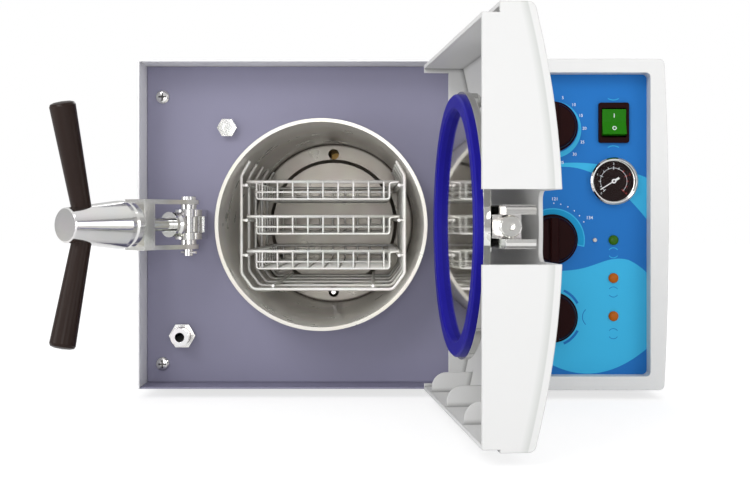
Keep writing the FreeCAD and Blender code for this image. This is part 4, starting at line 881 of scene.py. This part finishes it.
PALE_INK = coated("pale_blue_ink", PLATE_LIGHT, roughness=0.5, height=0.02, edge=0.0, gloss=0.1)
new_piece("plate_arcs", joined("plate_arcs", pale_arcs), PALE_INK, "root")
DEEP_INK = coated("deep_blue_ink", PLATE_DARK, roughness=0.5, height=0.02, edge=0.0, gloss=0.1)
new_piece("plate_deep_arcs", joined("plate_deep_arcs", deep_arcs), DEEP_INK, "root")

# Knobs and switch. Moulded black plastic; the rocker is clear green plastic
# over a lamp, marked I and O in white.
knob_plastic = coated("knob_black", srgb(33, 6, 6), shade=0.8, roughness=0.4, grain=700,
                      height=0.05, edge=0.8, gloss=0.06)
dress(knob_plastic, "timer_knob", "temperature_knob", "selector_knob", "switch_frame")
dress(coated("rocker_green", srgb(28, 112, 2), roughness=0.3, coat=0.03, edge=0.6, gloss=0.1),
      "power_rocker")
ROCKER_LEAN = math.radians(-8)
ROCKER_HALF_SLOPE = math.atan2(2.0, 11.2)
ROCKER_FACE, ROCKER_HALF_MIDDLE = 4.56 * MM, 5.6 * MM
rocker_at = Matrix.Translation((switch_x, plate_low.y, switch_z)) @ Matrix.Rotation(ROCKER_LEAN, 4, "X")
signs = []
for mesh, side in ((bar_mesh("bar", 0.3 * MM, -1.8 * MM, 1.8 * MM), 1),
                   (ring_mesh("ring", 1.25 * MM, 1.85 * MM, 0, 360, 28), -1)):
    on_face = Matrix.Translation((0, -ROCKER_FACE, side * ROCKER_HALF_MIDDLE))
    mesh.transform(rocker_at @ on_face @ Matrix.Rotation(side * ROCKER_HALF_SLOPE, 4, "X"))
    signs.append(mesh)
new_piece("rocker_marks", joined("rocker_marks", signs), INK, "rocker")

# Pressure gauge. A chromed case round a black dial, marked in white up to the
# working pressure and in red above it, behind a glass window.
gauge_low, gauge_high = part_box("gauge_case")
gauge_at = ((gauge_low.x + gauge_high.x) / 2, (gauge_low.z + gauge_high.z) / 2)
GAUGE_RIM = 3.0 * MM


def gauge_finish():
    """Chrome, with a matt black disc for the dial inside the rim."""
    material = metal("chrome_and_dial", srgb(232, 231, 229), roughness=0.06, spread=0.05)
    nodes, links = material.node_tree.nodes, material.node_tree.links
    step = partial(value_node, nodes, links)
    surface = surface_of(nodes)
    shader = nodes["Principled BSDF"]
    x, _, z = object_axes(nodes, links)
    dial_r = (gauge_high.x - gauge_low.x) / 2 - GAUGE_RIM
    dial = arc_mask(nodes, links, x, z,
                    {"Centre X": gauge_at[0], "Centre Z": gauge_at[1], "Inner": -1.0,
                     "Outer": dial_r, "Start": -1.0, "End": 7.0})
    colour = laid_over(nodes, links, surface.outputs["Colour"], srgb(26, 8, 7), dial)
    links.new(colour, shader.inputs["Base Color"])
    shader.inputs["Specular IOR Level"].default_value = 0.1
    links.new(step("SUBTRACT", 1.0, dial), shader.inputs["Metallic"])
    links.new(step("MULTIPLY_ADD", dial, 0.4, surface.outputs["Roughness"]),
              shader.inputs["Roughness"])
    return material


dress(gauge_finish(), "gauge_case")
dial_y = plate_low.y - 1.55 * MM
white_marks, red_marks = [], []
ZERO, FULL = 225, 495
TICKS, DIAL_FIGURES, LAST_WHITE = 12, 4, 7 / 12
for number in range(TICKS + 1):
    share = number / TICKS
    angle = ZERO + (FULL - ZERO) * share
    long = 3.0 if number % 3 == 0 else 2.0
    mesh = bar_mesh("tick", 0.22 * MM, -long * MM, 0)
    x, z = clock(gauge_at, 13.2 * MM, angle)
    mesh.transform(Matrix.Rotation(math.radians(angle), 4, "Y"))
    (white_marks if share <= LAST_WHITE else red_marks).append(moved(mesh, x, dial_y, z))
for number in range(DIAL_FIGURES + 1):
    share = number / DIAL_FIGURES
    x, z = clock(gauge_at, 15.4 * MM, ZERO + (FULL - ZERO) * share)
    mesh = moved(text_mesh("figure", str(number), 2.6 * MM), x, dial_y, z)
    (white_marks if share <= LAST_WHITE else red_marks).append(mesh)
white_marks.append(moved(ring_mesh("scale", 11.6 * MM, 11.9 * MM, ZERO, FULL, 60), gauge_at[0],
                         dial_y, gauge_at[1]))
new_piece("dial_marks", joined("dial_marks", white_marks), INK, "root")
RED_INK = coated("red_ink", srgb(214, 38, 30), roughness=0.5, height=0.02, edge=0.0)
new_piece("dial_red_marks", joined("dial_red_marks", red_marks), RED_INK, "root")
dress(coated("needle_white", srgb(248, 248, 248), roughness=0.4, edge=0.1), "gauge_needle")
glass = bpy.data.materials.new("gauge_window")
glass.use_nodes = True
nodes, links = glass.node_tree.nodes, glass.node_tree.links
nodes.clear()
clear = nodes.new("ShaderNodeBsdfTransparent")
shine = nodes.new("ShaderNodeBsdfGlossy")
shine.inputs["Roughness"].default_value = 0.02
edge_on = nodes.new("ShaderNodeFresnel")
edge_on.inputs["IOR"].default_value = 1.16
layer = nodes.new("ShaderNodeMixShader")
out = nodes.new("ShaderNodeOutputMaterial")
links.new(edge_on.outputs[0], layer.inputs["Fac"])
links.new(clear.outputs[0], layer.inputs[1])
links.new(shine.outputs[0], layer.inputs[2])
links.new(layer.outputs[0], out.inputs["Surface"])
dress(glass, "gauge_glass")

# Lamps and reset button. Moulded lenses pressed into the plate, dark while the
# machine is off.
dress(coated("lamp_green", srgb(46, 98, 2), roughness=0.25, coat=0.06, gloss=0.15), "power_lamp")
dress(coated("lamp_amber", srgb(178, 92, 2), roughness=0.25, coat=0.06, gloss=0.15), "dry_lamp",
      "heat_lamp")
dress(coated("button_grey", srgb(200, 196, 194), roughness=0.4), "reset_button")

# Inside the housing: the water tank, the steam line and valves, and the
# control bodies behind the plate.
dress(metal("tank_sheet", srgb(200, 200, 198), roughness=0.3, spread=0.15), "water_tank",
      "exhaust_pipe")
dress(metal("turned_brass", srgb(176, 142, 84), roughness=0.25, spread=0.15), "selector_valve",
      "safety_valve")
dress(black_plastic, "timer_body", "temperature_body", "power_inlet", "tank_lid")
